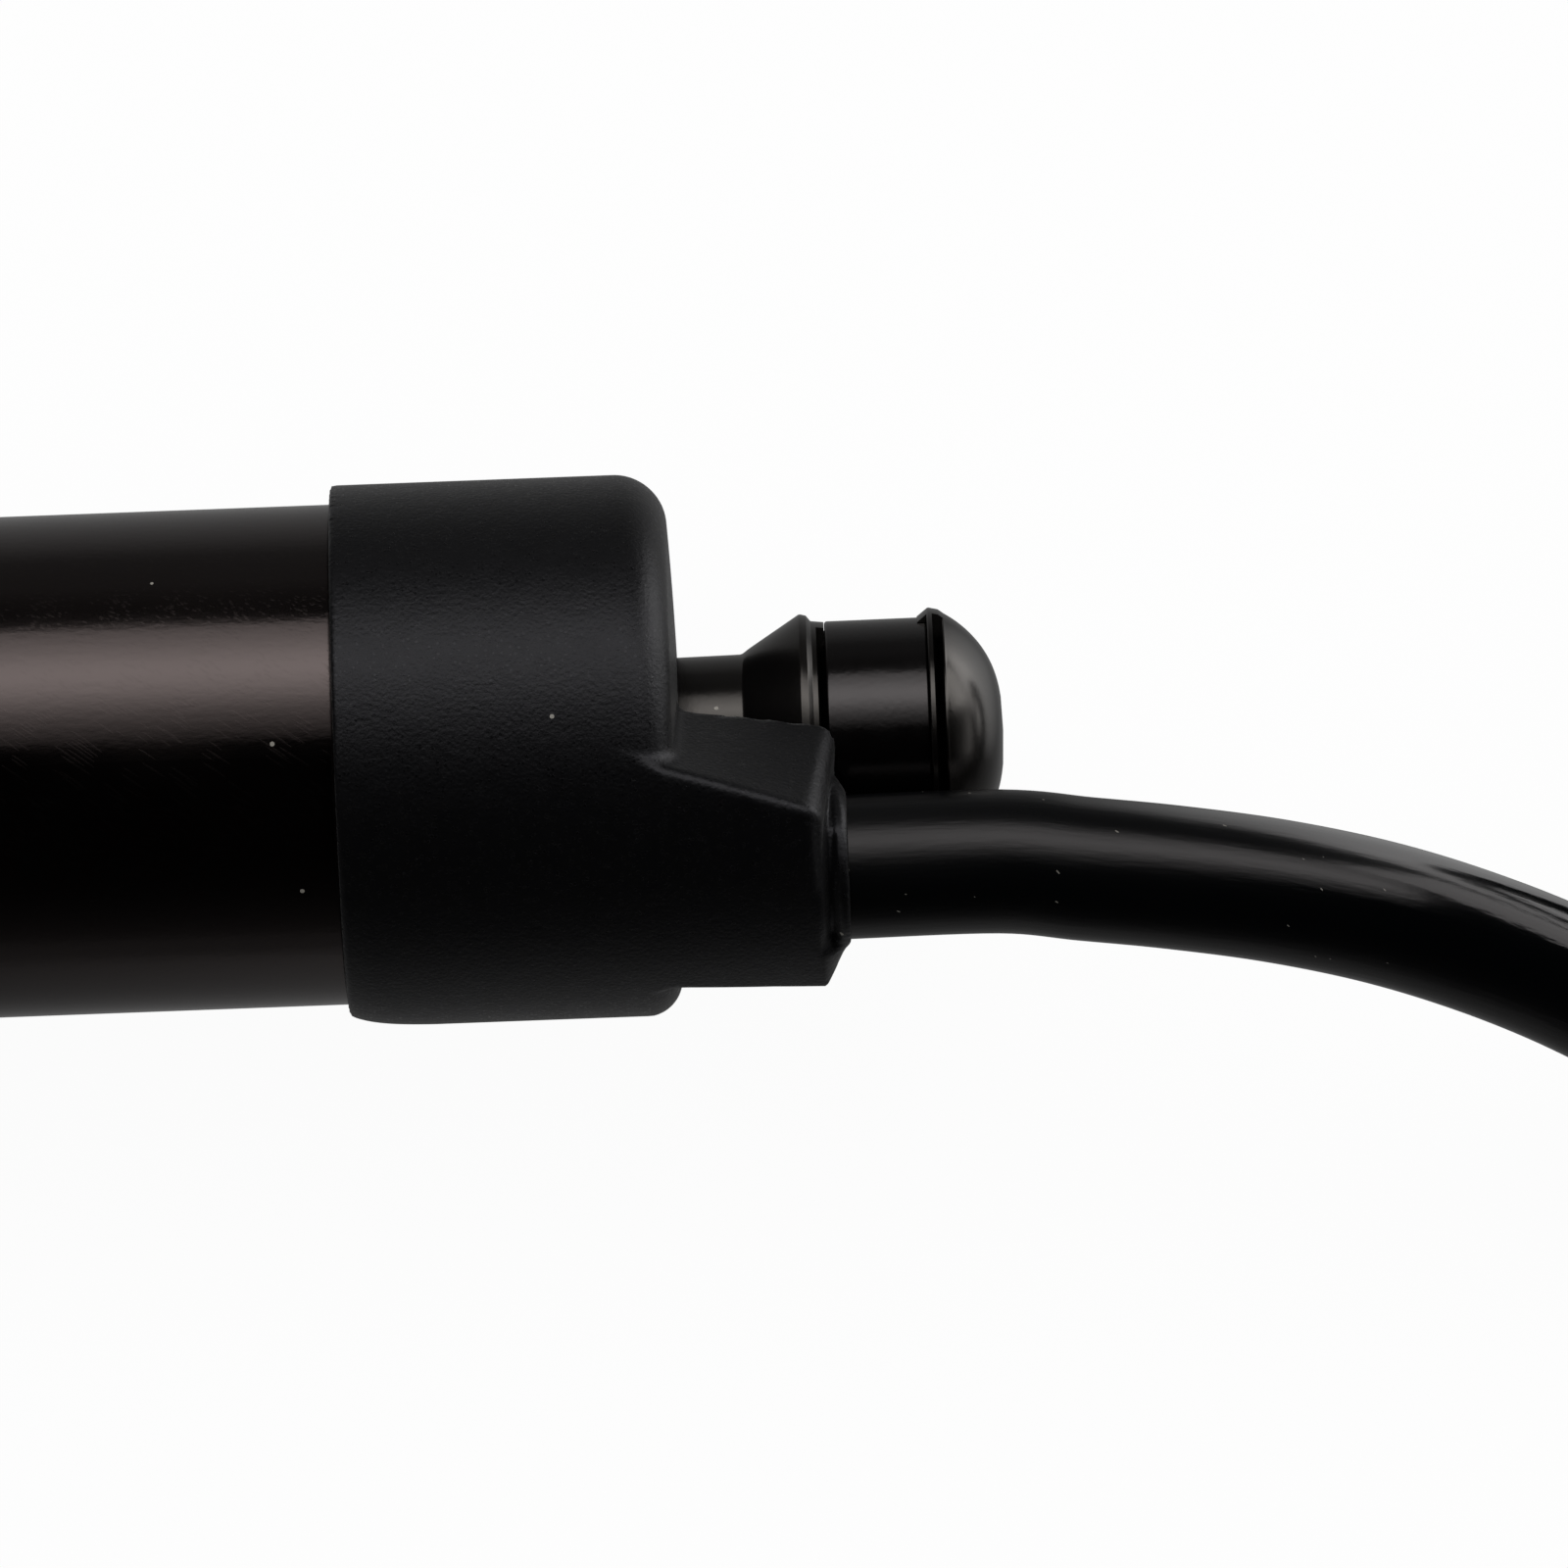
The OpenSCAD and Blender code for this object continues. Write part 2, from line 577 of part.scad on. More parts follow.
module planet_1a() color("#e8e2d0") planet(s_planet_1, face_1, planet_turns[0]);
module planet_1b() color("#e8e2d0") planet(s_planet_1, face_1, planet_turns[1]);
module planet_1c() color("#e8e2d0") planet(s_planet_1, face_1, planet_turns[2]);
module planet_2a() color("#a9a49a") planet(s_planet_2, face_2, planet_turns[0]);
module planet_2b() color("#a9a49a") planet(s_planet_2, face_2, planet_turns[1]);
module planet_2c() color("#a9a49a") planet(s_planet_2, face_2, planet_turns[2]);

module pin_holes(s, len) along(s) round_copies(3, planet_path_r) cylinder(r = planet_pin_r, h = len);

// First carrier, in one piece with the second stage's sun gear
module carrier_1() color("#77797d") difference() {
    union() {
        along(s_arm_1) cylinder(r = arm_r, h = arm_t);
        along(s_arm_1 + arm_t) linear_extrude(face_2 + 1) outer_gear(sun_teeth);
    }
    pin_holes(s_arm_1 - cut, arm_t + 2 * cut);
}

module carrier_pins_1() color("#c4c7cb") pin_holes(s_planet_1 - 0.5, s_arm_1 + arm_t - s_planet_1 + 0.5);
module carrier_pins_2() color("#c4c7cb") pin_holes(s_planet_2 - 0.5, s_arm_2 + arm_t - s_planet_2 + 0.5);

// Output carrier, whose hub runs in the bearing and drives the spindle
module carrier_2() color("#77797d") difference() {
    union() {
        along(s_arm_2) cylinder(r = arm_r, h = arm_t);
        along(s_arm_2) cylinder(r = hub_r, h = arm_t + hub_len);
    }
    pin_holes(s_arm_2 - cut, arm_t + 2 * cut);
    along(s_arm_2 + 2) cylinder(r = hex_af / sqrt(3), h = arm_t + hub_len, $fn = 6);
}

module bearing_cover() color("#3b3d40") difference() {
    union() {
        along(s_cover) cylinder(r = tube_ri, h = cover_t);
        along(s_cover_end) cylinder(r = guide_ri, h = spigot_len);
    }
    along(s_cover - cut) cylinder(r = race_ro, h = bearing_w + 0.5 + cut);
    along(s_cover) cylinder(r = guide_ri - 2, h = cover_t + spigot_len + cut);
}

module race_groove() rotate_extrude() translate([ball_path_r, bearing_w / 2]) circle(ball_r + race_gap);

module bearing_outer_race() color("#c4c7cb") along(s_bearing) difference() {
    tube(race_ro, ball_path_r + 1.3, bearing_w);
    race_groove();
}

module bearing_inner_race() color("#c4c7cb") along(s_bearing) difference() {
    tube(ball_path_r - 1.3, hub_r, bearing_w);
    race_groove();
}

module bearing_cage() color("#b08d4c") along(s_bearing + 1.2) difference() {
    tube(ball_path_r + 0.7, ball_path_r - 0.7, bearing_w - 2.4);
    translate([0, 0, bearing_w / 2 - 1.2]) round_copies(balls, ball_path_r - 2)
        rotate([0, 90, 0]) cylinder(r = ball_r + 0.05, h = 4);
}

module bearing_balls() color("#e2e4e6") along(s_bearing + bearing_w / 2) round_copies(balls, ball_path_r) sphere(ball_r);

// ---- Spindle, nut and tubes ----

module spindle() color("#b9bcc0") {
    s_drive = s_arm_2 + 2.5;
    s_shoulder = s_bearing + bearing_w + 1;
    along(s_drive) cylinder(r = hex_af / sqrt(3), h = s_shoulder - s_drive + 0.5, $fn = 6);
    along(s_shoulder) cylinder(r = spindle_r, h = s_stop - s_shoulder);
    along(s_stop) cylinder(r = spindle_r - 1, h = s_spindle_end - s_stop);
}

module spindle_stop() color("#2f2f31") along(s_stop) tube(push_ri - 0.1, spindle_r - 1, stop_len);

module guide_tube() color("#2b2c2e") along(s_cover_end) difference() {
    union() {
        tube(guide_ro, guide_ri, s_guide_end - s_cover_end);
        translate([0, 0, spigot_len]) round_copies(4, guide_ri - key_h)
            translate([0, -key_w / 2, 0]) cube([key_h + 0.4, key_w, s_guide_end - s_cover_end - spigot_len]);
    }
}

module spindle_nut() color("#e4dfd2") along(s_nut) difference() {
    union() {
        cylinder(r = nut_ro, h = nut_collar);
        cylinder(r = push_ri, h = nut_len);
    }
    translate([0, 0, -cut]) cylinder(r = spindle_r + run_fit, h = nut_len + 2 * cut);
    round_copies(4, nut_ro - 1) translate([0, -key_w / 2 - 0.3, -cut]) cube([3, key_w + 0.6, nut_collar + 2 * cut]);
}

module push_tube() color("#9da0a4") along(s_nut + nut_collar) tube(push_ro, push_ri, s_rod_plug - s_nut - nut_collar + 3);

module spring_seat() color("#2f2f31") along(s_cover_end) tube(slide_ri - air, guide_ro, seat_t);

// Compression spring: a closed turn at each end, an even pitch between
spring_closed_pitch = spring_wire + 0.55;
spring_lift = (spring_len - spring_wire - 2 * spring_closed_pitch) / (spring_turns - 2);
function spring_height(t) = spring_wire / 2 + spring_closed_pitch * min(t, 1)
    + spring_lift * max(0, min(t - 1, spring_turns - 2)) + spring_closed_pitch * max(0, t - spring_turns + 1);
turn_rings = 12;                         // rings of the swept wire in one turn
spring_path = [for (i = [0 : spring_turns * turn_rings]) let (t = i / turn_rings, a = t * 360)
    [spring_mean * cos(a), spring_mean * sin(a), spring_height(t)]];

module lift_spring() color("#5b5d60") along(s_spring) swept(spring_path, spring_wire / 2, 6, 30);

// Collar over the tube's mouth, whose nose tapers to a lip round the sliding tube
module wiper_ring() color("#1d1e20") difference() {
    along(s_mouth - 12) {
        rounded_disc(cap_ro, 13, 1);
        translate([0, 0, 12]) cylinder(r1 = cap_ro - 1, r2 = slide_ro + 1.2, h = 3);
    }
    along(s_mouth - 12 - cut) cylinder(r = tube_ro, h = 12 + cut);
    along(s_mouth - cut) cylinder(r = slide_ro + run_fit, h = 3 + 2 * cut);
}

module slide_guide() color("#e4dfd2") along(s_slide) tube(tube_ri - run_fit, slide_ro, 12);

module sliding_tube() color("#1b1a1a") along(s_slide) tube(slide_ro, slide_ri, s_rod_plug + rod_plug_len - s_slide);

module rod_end_plug() color("#8d9094") difference() {
    union() {
        along(s_rod_plug) cylinder(r = slide_ri, h = rod_plug_len);
        along(s_rod_plug + rod_plug_len) rounded_disc(slide_ro + 1, rod_flange_t, 0.8);
        along(s_rod_plug + rod_plug_len + rod_flange_t) cylinder(r = 4, h = 6.5);
    }
    along(s_rod_plug - cut) cylinder(r = push_ro, h = 3 + cut);
}

// ---- Cable, hank and connector ----

lead_path = smooth_path(lead_points, 3);
module cable_lead() color("#15171a") swept(lead_path, cable_r, 12, 15, [1, 0, 0], [1, 0, 0]);

// The hank lies flat: out along the first run, round the far fold, back, round the near
// fold and out again between the first two, which the tie draws together at the waist
bound_half = 5;                          // the strands lie side by side this far from the waist
function waist_pull(x) = pow(cos(90 * max(0, abs(x) - bound_half) / (hank_half - bound_half)), 2);
run_x = [for (f = [-0.75 : 0.25 : -0.25]) f * hank_half, -bound_half, bound_half,
    for (f = [0.25 : 0.25 : 1]) f * hank_half];
fold_steps = 6;
function run_y(x, at_fold, at_waist) = at_fold + (at_waist - at_fold) * waist_pull(x);
function run_z(x) = lying_z + strap_t * waist_pull(x);
second_y = hank_y + 2 * fold_outer;
third_y = second_y - 2 * fold_inner;
hank_end = 28;                          // the cable stops this far past the waist
function fold(end, y, r) = [for (i = [1 : fold_steps]) let (a = end * (i * 180 / fold_steps - 90))
    [end * (hank_half + r * cos(a)), y + r * sin(a), lying_z]];
hank_path = [for (p = concat(
    [[-hank_half, hank_y, lying_z], [-hank_half + cable_d, hank_y, lying_z]],
    [for (x = run_x) [x, run_y(x, hank_y, -strand), run_z(x)]],
    fold(1, hank_y + fold_outer, fold_outer),
    [for (x = run_x) [-x, run_y(x, second_y, strand), run_z(x)]],
    fold(-1, second_y - fold_inner, fold_inner),
    [for (x = run_x) if (x <= bound_half) [x, run_y(x, third_y, 0), run_z(x)]],
    [[hank_end - cable_d, 0, tied_z], [hank_end, 0, tied_z]]
)) [hank_x + p[0], p[1], p[2]]];
module cable_hank() color("#15171a") swept(hank_path, cable_r, 6, 0, [1, 0, 0], [1, 0, 0]);

// Strap round the three strands at the waist, with its head on one side
module hank_tie() color("#222222") translate([hank_x, 0, tied_z]) rotate([0, 90, 0]) {
    translate([0, 0, -2.5]) linear_extrude(5) difference() {
        rounded_rect(cable_d + 2 * strap_t, 2 * strand + cable_d + 2 * strap_t, 5);
        rounded_rect(cable_d, 2 * strand + cable_d, 4);
    }
    translate([-3, strand + cable_r + strap_t - 0.2, -3.5]) cube([6, 4, 7]);
}

// Sealed plug housing on the end of the cable, open at its mating end, with a ribbed boot,
// a guide rib along each side and a latch on top
connector_x = hank_x + hank_end;
connector_w = 22;
connector_h = 2 * (tied_z - floor_z);
connector_end = 48;
latch_w = 7;
latch_t = 1.4;
latch_gap = 0.9;                        // under the latch's arm
module cable_connector() color("#26282b") translate([connector_x, 0, tied_z]) rotate([0, 90, 0]) {
    cylinder(r1 = cable_r + 0.4, r2 = connector_h / 2 - 0.6, h = 13);
    translate([0, 0, 12]) difference() {
        union() {
            linear_extrude(connector_end - 12) rounded_rect(connector_h, connector_w, 2);
            for (y = [-1, 1]) translate([-1, y * (connector_w / 2 + 0.2) - 0.6, 14])
                cube([2, 1.2, connector_end - 26]);
        }
        translate([0, 0, 16]) linear_extrude(21) rounded_rect(connector_h - 3, connector_w - 3, 1);
    }
    for (i = [-1.5 : 1 : 1.5], z = [-1, 1]) translate([z * 2, i * 4, 27]) cylinder(r = 0.6, h = 12, $fn = 24);
    for (z = [2, 5, 8]) translate([0, 0, z]) rounded_disc(connector_h / 2 - 0.2, 1.6, 0.7);
    translate([-connector_h / 2 - latch_gap - latch_t, 0, 0]) {
        translate([0, -latch_w / 2, 22]) cube([latch_t, latch_w, connector_end - 24]);
        translate([0, -latch_w / 2, connector_end - 8]) cube([latch_t + latch_gap + 0.5, latch_w, 6]);
        translate([-0.6, -latch_w / 2 - 1, 22]) cube([latch_t + 0.6, latch_w + 2, 3]);
    }
}

echo(spring_gap = least_gap(spring_path, turn_rings / 2 + 1, spring_wire));
echo(hank_gap = least_gap(hank_path, 4, cable_d));
echo(ball_to_ball = ball_to_ball, s_mouth = s_mouth);

housing_tube();
end_cap();
motor_end_plug();
plug_seal();
motor_end_socket();
motor_end_clip();
lead_wires();
sensor_board();
hall_sensors();
suppressor_parts();
brush_holder();
carbon_brushes();
brush_springs();
rear_bush();
motor_can();
field_magnets();
front_bush();
rear_damper();
front_damper();
motor_shaft();
sensor_magnet();
commutator();
armature_core();
armature_windings();
sun_gear_1();
gearbox_plate();
gearbox_screws();
ring_gear();
bearing_cover();
planet_1a();
planet_1b();
planet_1c();
carrier_1();
carrier_pins_1();
planet_2a();
planet_2b();
planet_2c();
carrier_2();
carrier_pins_2();
bearing_outer_race();
bearing_inner_race();
bearing_cage();
bearing_balls();
spindle();
spindle_stop();
guide_tube();
spring_seat();
lift_spring();
wiper_ring();
slide_guide();
sliding_tube();
push_tube();
spindle_nut();
rod_end_plug();
rod_end_socket();
rod_end_clip();
cable_lead();
cable_hank();
hank_tie();
cable_connector();
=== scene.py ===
import json
import math
from functools import partial

import bmesh
import bpy
import numpy as np
from mathutils import Matrix, Vector


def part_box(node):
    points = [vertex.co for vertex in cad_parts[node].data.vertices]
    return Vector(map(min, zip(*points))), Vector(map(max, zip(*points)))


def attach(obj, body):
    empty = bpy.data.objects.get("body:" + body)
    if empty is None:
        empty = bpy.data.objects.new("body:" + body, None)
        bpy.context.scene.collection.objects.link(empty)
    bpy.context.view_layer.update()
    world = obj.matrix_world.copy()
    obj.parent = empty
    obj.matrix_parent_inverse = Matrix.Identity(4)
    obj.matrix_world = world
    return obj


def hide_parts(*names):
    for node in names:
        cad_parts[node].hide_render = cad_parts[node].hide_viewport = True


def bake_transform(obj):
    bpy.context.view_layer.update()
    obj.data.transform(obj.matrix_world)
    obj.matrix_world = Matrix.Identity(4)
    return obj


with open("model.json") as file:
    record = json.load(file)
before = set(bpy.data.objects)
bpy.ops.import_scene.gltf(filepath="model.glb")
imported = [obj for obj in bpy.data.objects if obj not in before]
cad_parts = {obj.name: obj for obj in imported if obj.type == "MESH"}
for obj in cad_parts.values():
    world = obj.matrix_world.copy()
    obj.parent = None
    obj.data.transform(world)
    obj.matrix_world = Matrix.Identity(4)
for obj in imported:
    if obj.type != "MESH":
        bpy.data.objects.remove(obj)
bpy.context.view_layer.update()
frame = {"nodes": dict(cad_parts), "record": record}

# Powered tailgate strut. Blender works in metres; outlines and fields below are in millimetres
# and MM turns them into metres. The strut lies along X, its motor-end ball centre is the origin.
MM = 0.001
body_of = {node: body for body, members in frame["record"]["behaviour"]["bodies"].items()
           for node in members}
slot_of = {part["node"]: part["material_slot"] for part in frame["record"]["subparts"]}


def box_mm(node):
    """The low and high corners of a node's box."""
    return [np.array(corner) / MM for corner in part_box(node)]


def span_mm(node):
    """A turned node's end nearer the motor, its other end and its radius."""
    low, high = box_mm(node)
    return float(high[0]), float(low[0]), float(high[2])


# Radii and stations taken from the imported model, in millimetres
tube_start, tube_end, tube_r = span_mm("housing_tube")
cap_low = box_mm("end_cap")[0]
cap_r = float(-cap_low[2])
cap_rim_x = float(cap_low[0])
floor_z = -cap_r


# ---- Node trees ----

def link(tree, source, target):
    tree.links.new(source, target)


def put(tree, kind, *sources, **settings):
    """A node with its settings, its first inputs fed by sockets or set to values. The kind of a
    geometry node is given in full, that of any other one without ShaderNode."""
    made = tree.nodes.new(kind if kind.startswith("Geometry") else "ShaderNode" + kind)
    for key, value in settings.items():
        setattr(made, key, value)
    for socket, source in zip([s for s in made.inputs if s.enabled], sources):
        if isinstance(source, bpy.types.NodeSocket):
            link(tree, source, socket)
        elif source is not None:
            socket.default_value = source
    return made


def sum_of(tree, operation, *sources):
    return put(tree, "Math", *sources, operation=operation).outputs[0]


def plus(tree, total, *sources):
    """The sum of sockets or numbers."""
    for source in sources:
        total = sum_of(tree, "ADD", total, source)
    return total


def bare_tree(owner, kind):
    """A material's or world's emptied tree and the socket that its surface goes to."""
    owner.use_nodes = True
    tree = owner.node_tree
    tree.nodes.clear()
    return tree, tree.nodes.new("ShaderNodeOutput" + kind).inputs[0]


def new_tree(kind, name, inputs, outputs):
    """An empty node tree, its inputs' sockets and its outputs' ones. An input is given by its
    default, or by its kind's name where it has none; an output by its kind's name."""
    tree = bpy.data.node_groups.new(name, kind + "NodeTree")
    for key, value in inputs.items():
        if isinstance(value, str):
            tree.interface.new_socket(key, in_out="INPUT", socket_type="NodeSocket" + value)
            continue
        vector = "Color" if isinstance(value, tuple) and len(value) == 4 else "Vector"
        sort = {float: "Float", int: "Int"}.get(type(value), vector)
        socket = tree.interface.new_socket(key, in_out="INPUT", socket_type="NodeSocket" + sort)
        socket.default_value = value
    for key, value in outputs.items():
        tree.interface.new_socket(key, in_out="OUTPUT", socket_type="NodeSocket" + value)
    return tree, tree.nodes.new("NodeGroupInput").outputs, tree.nodes.new("NodeGroupOutput").inputs


# ---- Camera, floor and light ----

def make_camera():
    """Looks down on the motor end, turned so that the strut rises a little to the right."""
    view_width = 109.7 * MM
    aim_x, aim_y, distance = -6.77 * MM, -3.22 * MM, 1.2
    turn = math.radians(-2.15)
    data = bpy.data.cameras.new("camera")
    data.sensor_width = 36
    data.lens = data.sensor_width * distance / view_width
    data.clip_start, data.clip_end = 0.05, 50
    camera = bpy.data.objects.new("camera", data)
    camera.location = (aim_x, aim_y, distance)
    camera.rotation_euler = (0, 0, turn)
    bpy.context.scene.collection.objects.link(camera)
    bpy.context.scene.camera = camera


def painted_glow(tree, place, middle, reach, strength, kind="SPHERICAL", turn=0, top=None):
    """Painted light: brightness that falls from strength at a spot on the table to nothing at
    reach, [along, across], where along is turned by turn degrees from X. It is never more than top."""
    centre = put(tree, "Mapping", place, (*middle, 0), (0, 0, math.radians(turn)),
                 (*reach, 1000), vector_type="TEXTURE")
    spot = put(tree, "TexGradient", centre.outputs[0], gradient_type=kind)
    level = sum_of(tree, "MULTIPLY", spot.outputs["Fac"], strength)
    return level if top is None else sum_of(tree, "MINIMUM", level, top)


def mixed(tree, share, first, second):
    return put(tree, "MixShader", share, first, second).outputs[0]


def make_floor():
    """A pale table: nearly white to the camera with a faint shadow left in it. Gloss sees another
    one, a painted reflection: dim, with painted glows behind the strut, past its motor end and in
    front of it, which light nothing else."""
    material = bpy.data.materials.new("table")
    tree, surface = bare_tree(material, "Material")
    place = put(tree, "TexCoord").outputs["Object"]
    behind = painted_glow(tree, place, (-0.3, 0.03), (0.55, 0.09), 0.5, "QUADRATIC_SPHERE")
    past_end = painted_glow(tree, place, (0.312, 0.159), (0.33, 0.1), 14.5, turn=27, top=3.2)
    in_front = painted_glow(tree, place, (0.0, -0.08), (0.09, 0.11), 0.16)
    everywhere, unshadowed = 0.11, 0.96
    # sheen here is no sheen of the table: it is a painted reflection, an emission that only gloss
    # sees
    sheen = put(tree, "Emission", None, plus(tree, behind, past_end, in_front, everywhere))
    matt = put(tree, "BsdfDiffuse", (0.8, 0.8, 0.8, 1)).outputs[0]
    white = put(tree, "Emission", None, 1.0).outputs[0]
    path = put(tree, "LightPath").outputs
    looked_at = plus(tree, path["Is Camera Ray"], path["Is Transmission Ray"])
    seen = mixed(tree, sum_of(tree, "MULTIPLY", looked_at, unshadowed), matt, white)
    shone = mixed(tree, path["Is Glossy Ray"], seen, sheen.outputs[0])
    clear = put(tree, "BsdfTransparent").outputs[0]
    back = put(tree, "NewGeometry").outputs["Backfacing"]
    link(tree, mixed(tree, back, shone, clear), surface)
    mesh = bpy.data.meshes.new("table")
    half, z = 15.0, floor_z * MM
    mesh.from_pydata([(-half, -half, z), (half, -half, z), (half, half, z), (-half, half, z)], [],
                     [(0, 1, 2, 3)])
    mesh.materials.append(material)
    shown("table", mesh)


def make_lamp(name, length, width, brightness, tilt, turn, distance, fade=None):
    """A soft box that faces the origin from tilt degrees off straight up, towards turn round Z.
    fade is how bright its face is from its lower edge to its upper one, [place, share]."""
    data = bpy.data.lights.new(name, "AREA")
    data.shape = "RECTANGLE"
    data.size, data.size_y = length, width
    data.energy = brightness * math.pi * length * width
    t, a = math.radians(tilt), math.radians(turn)
    away = Vector((math.sin(t) * math.cos(a), math.sin(t) * math.sin(a), math.cos(t)))
    lamp = bpy.data.objects.new(name, data)
    lamp.location = away * distance
    level = Vector((-math.sin(a), math.cos(a), 0))
    lamp.rotation_mode = "QUATERNION"
    lamp.rotation_quaternion = Matrix((level, away.cross(level), away)).transposed().to_quaternion()
    lamp.visible_camera = False
    if fade:
        data.use_nodes = True
        tree = data.node_tree
        face = put(tree, "NewGeometry").outputs["Parametric"]
        across = put(tree, "SeparateXYZ", face)
        ramp = put(tree, "ValToRGB", across.outputs["Y"])
        link(tree, ramp.outputs[0], tree.nodes["Emission"].inputs["Strength"])
        stops = ramp.color_ramp.elements
        for place, share in fade[1:-1]:
            stops.new(place).color = (share, share, share, 1)
        for stop, share in ((stops[0], fade[0][1]), (stops[-1], fade[-1][1])):
            stop.color = (share, share, share, 1)
    bpy.context.scene.collection.objects.link(lamp)


def painted_room_reflection(tree):
    """A painted reflection of a room, which only gloss sees: black overhead, dim walls all round,
    lighter behind the strut and bright at the horizon past its motor end."""
    maths = partial(sum_of, tree)
    towards = put(tree, "SeparateXYZ", put(tree, "TexCoord").outputs["Generated"]).outputs
    x, y, z = (maths("MAXIMUM", towards[key], 0) for key in "XYZ")
    wall = maths("POWER", maths("SUBTRACT", 1, z), 3)
    round_about, behind, end_glow = 0.07, 0.05, 1.8
    lighter = maths("ADD", round_about, maths("MULTIPLY", behind, y))
    past_end = maths("MULTIPLY", maths("POWER", x, 8), end_glow)
    horizon = maths("MULTIPLY", maths("POWER", wall, 3), past_end)
    return maths("ADD", maths("MULTIPLY", wall, lighter), horizon)


def make_world():
    """White where the camera looks past the table, a painted reflection of a dim room where gloss
    looks.
    """
    world = bpy.data.worlds.new("room")
    bpy.context.scene.world = world
    tree, surface = bare_tree(world, "World")
    # the middle background is the painted room reflection, shown to gloss only
    room, dark, white = (put(tree, "Background", (1, 1, 1, 1), strength).outputs[0]
                         for strength in (0.3, painted_room_reflection(tree), 1.0))
    path = put(tree, "LightPath").outputs
    gloss = mixed(tree, path["Is Glossy Ray"], room, dark)
    looked_at = plus(tree, path["Is Camera Ray"], path["Is Transmission Ray"])
    link(tree, mixed(tree, looked_at, gloss, white), surface)


def make_studio():
    make_camera()
    make_floor()
    soft_edge = [(0, 0.42), (0.13, 0.53), (0.24, 0.72), (0.34, 0.92), (0.43, 1), (0.525, 0.86),
                 (0.62, 0.62), (0.71, 0.37), (0.815, 0.21), (0.91, 0.12), (1, 0.04)]
    make_lamp("soft_box", 2.4, 1.06, 3.2, 36.5, 90, 1.0, soft_edge)
    make_lamp("side_panel", 0.42, 0.28, 3.0, 80, 31, 0.8)
    make_world()
    bpy.context.scene.view_settings.view_transform = "Standard"


# ---- Meshes ----

def shown(name, mesh):
    piece = bpy.data.objects.new(name, mesh)
    bpy.context.scene.collection.objects.link(piece)
    return piece


def crisp(mesh, sharp):
    """Shades a mesh smooth, but for edges bent past sharp degrees."""
    mesh.shade_smooth()
    mesh.set_sharp_from_angle(angle=math.radians(sharp))


def close_up(work):
    """Merges doubles and turns every face outwards."""
    bmesh.ops.remove_doubles(work, verts=work.verts, dist=1e-7)
    bmesh.ops.recalc_face_normals(work, faces=work.faces)


def finished(name, work):
    """A shown object from a worked mesh, which is let go."""
    mesh = bpy.data.meshes.new(name)
    work.to_mesh(mesh)
    work.free()
    return shown(name, mesh)


def new_piece(name, points, faces):
    """A shown object from points in metres."""
    mesh = bpy.data.meshes.new(name)
    mesh.from_pydata([tuple(p) for p in points], [], [tuple(f) for f in faces])
    mesh.validate()
    mesh.update()
    mesh.shade_smooth()
    return shown(name, mesh)


def outward(piece, sharp):
    work = bmesh.new()
    work.from_mesh(piece.data)
    close_up(work)
    work.to_mesh(piece.data)
    work.free()
    crisp(piece.data, sharp)
    return piece


def keep_shape(piece):
    """Turns what a piece's modifiers make into its plain mesh, and removes them."""
    bpy.context.view_layer.update()
    graph = bpy.context.evaluated_depsgraph_get()
    mesh = bpy.data.meshes.new_from_object(piece.evaluated_get(graph))
    piece.modifiers.clear()
    old, piece.data = piece.data, mesh
    name = old.name
    bpy.data.meshes.remove(old)
    mesh.name = name


def soften(corners, steps=6):
    """A line through corners [x, r, rounding], with an arc at each corner that has a rounding."""
    line = []
    for i, (x, r, rounding) in enumerate(corners):
        here = np.array((x, r), float)
        if not rounding or i in (0, len(corners) - 1):
            line.append(here)
            continue
        before = np.array(corners[i - 1][:2], float) - here
        after = np.array(corners[i + 1][:2], float) - here
        before /= np.linalg.norm(before)
        after /= np.linalg.norm(after)
        half = math.acos(max(-1, min(1, float(before @ after)))) / 2
        reach = rounding / math.tan(half)
        inwards = (before + after) / np.linalg.norm(before + after)
        middle = here + inwards * rounding / math.sin(half)
        start, end = here + before * reach - middle, here + after * reach - middle
        sweep = math.pi - 2 * half
        for k in range(steps + 1):
            t = k / steps
            line.append(middle + (start * math.sin((1 - t) * sweep) + end * math.sin(t * sweep))
                        / math.sin(sweep))
    return [tuple(p) for p in line]


def loop_of(middle, corners, steps=6):
    """A closed line through corners, from a point in the middle of one side."""
    middle = (*middle, 0)
    return soften([middle, *corners, middle], steps)[:-1]


def lathe(name, outline, steps, ring=False, sharp=30):
    """Turns an outline of [x, r] in millimetres about X. A ring's outline is a loop."""
    work = bmesh.new()
    verts = [work.verts.new((x * MM, 0, r * MM)) for x, r in outline]
    pairs = zip(verts, verts[1:] + verts[:1]) if ring else zip(verts, verts[1:])
    edges = [work.edges.new(pair) for pair in pairs]
    bmesh.ops.spin(work, geom=verts + edges, cent=(0, 0, 0), axis=(1, 0, 0), angle=2 * math.pi,
                   steps=steps, use_duplicate=False)
    close_up(work)
    piece = finished(name, work)
    crisp(piece.data, sharp)
    return piece


def cut_away(piece, cutters, sharp=30):
    """Takes the cutters out of a piece and removes them."""
    for cutter in cutters:
        modifier = piece.modifiers.new("cut", "BOOLEAN")
        modifier.operation = "DIFFERENCE"
        modifier.solver = "EXACT"
        modifier.object = cutter
    keep_shape(piece)
    for cutter in cutters:
        bpy.data.objects.remove(cutter)
    return outward(piece, sharp)


def bar(name, low, high):
    """A plain block between two corners, in millimetres, used as a cutter."""
    work = bmesh.new()
    bmesh.ops.create_cube(work, size=1)
    size = (Vector(high) - Vector(low)) * MM
    middle = (Vector(high) + Vector(low)) * MM / 2
    work.transform(Matrix.Translation(middle) @ Matrix.Diagonal((*size, 1)))
    return finished(name, work)


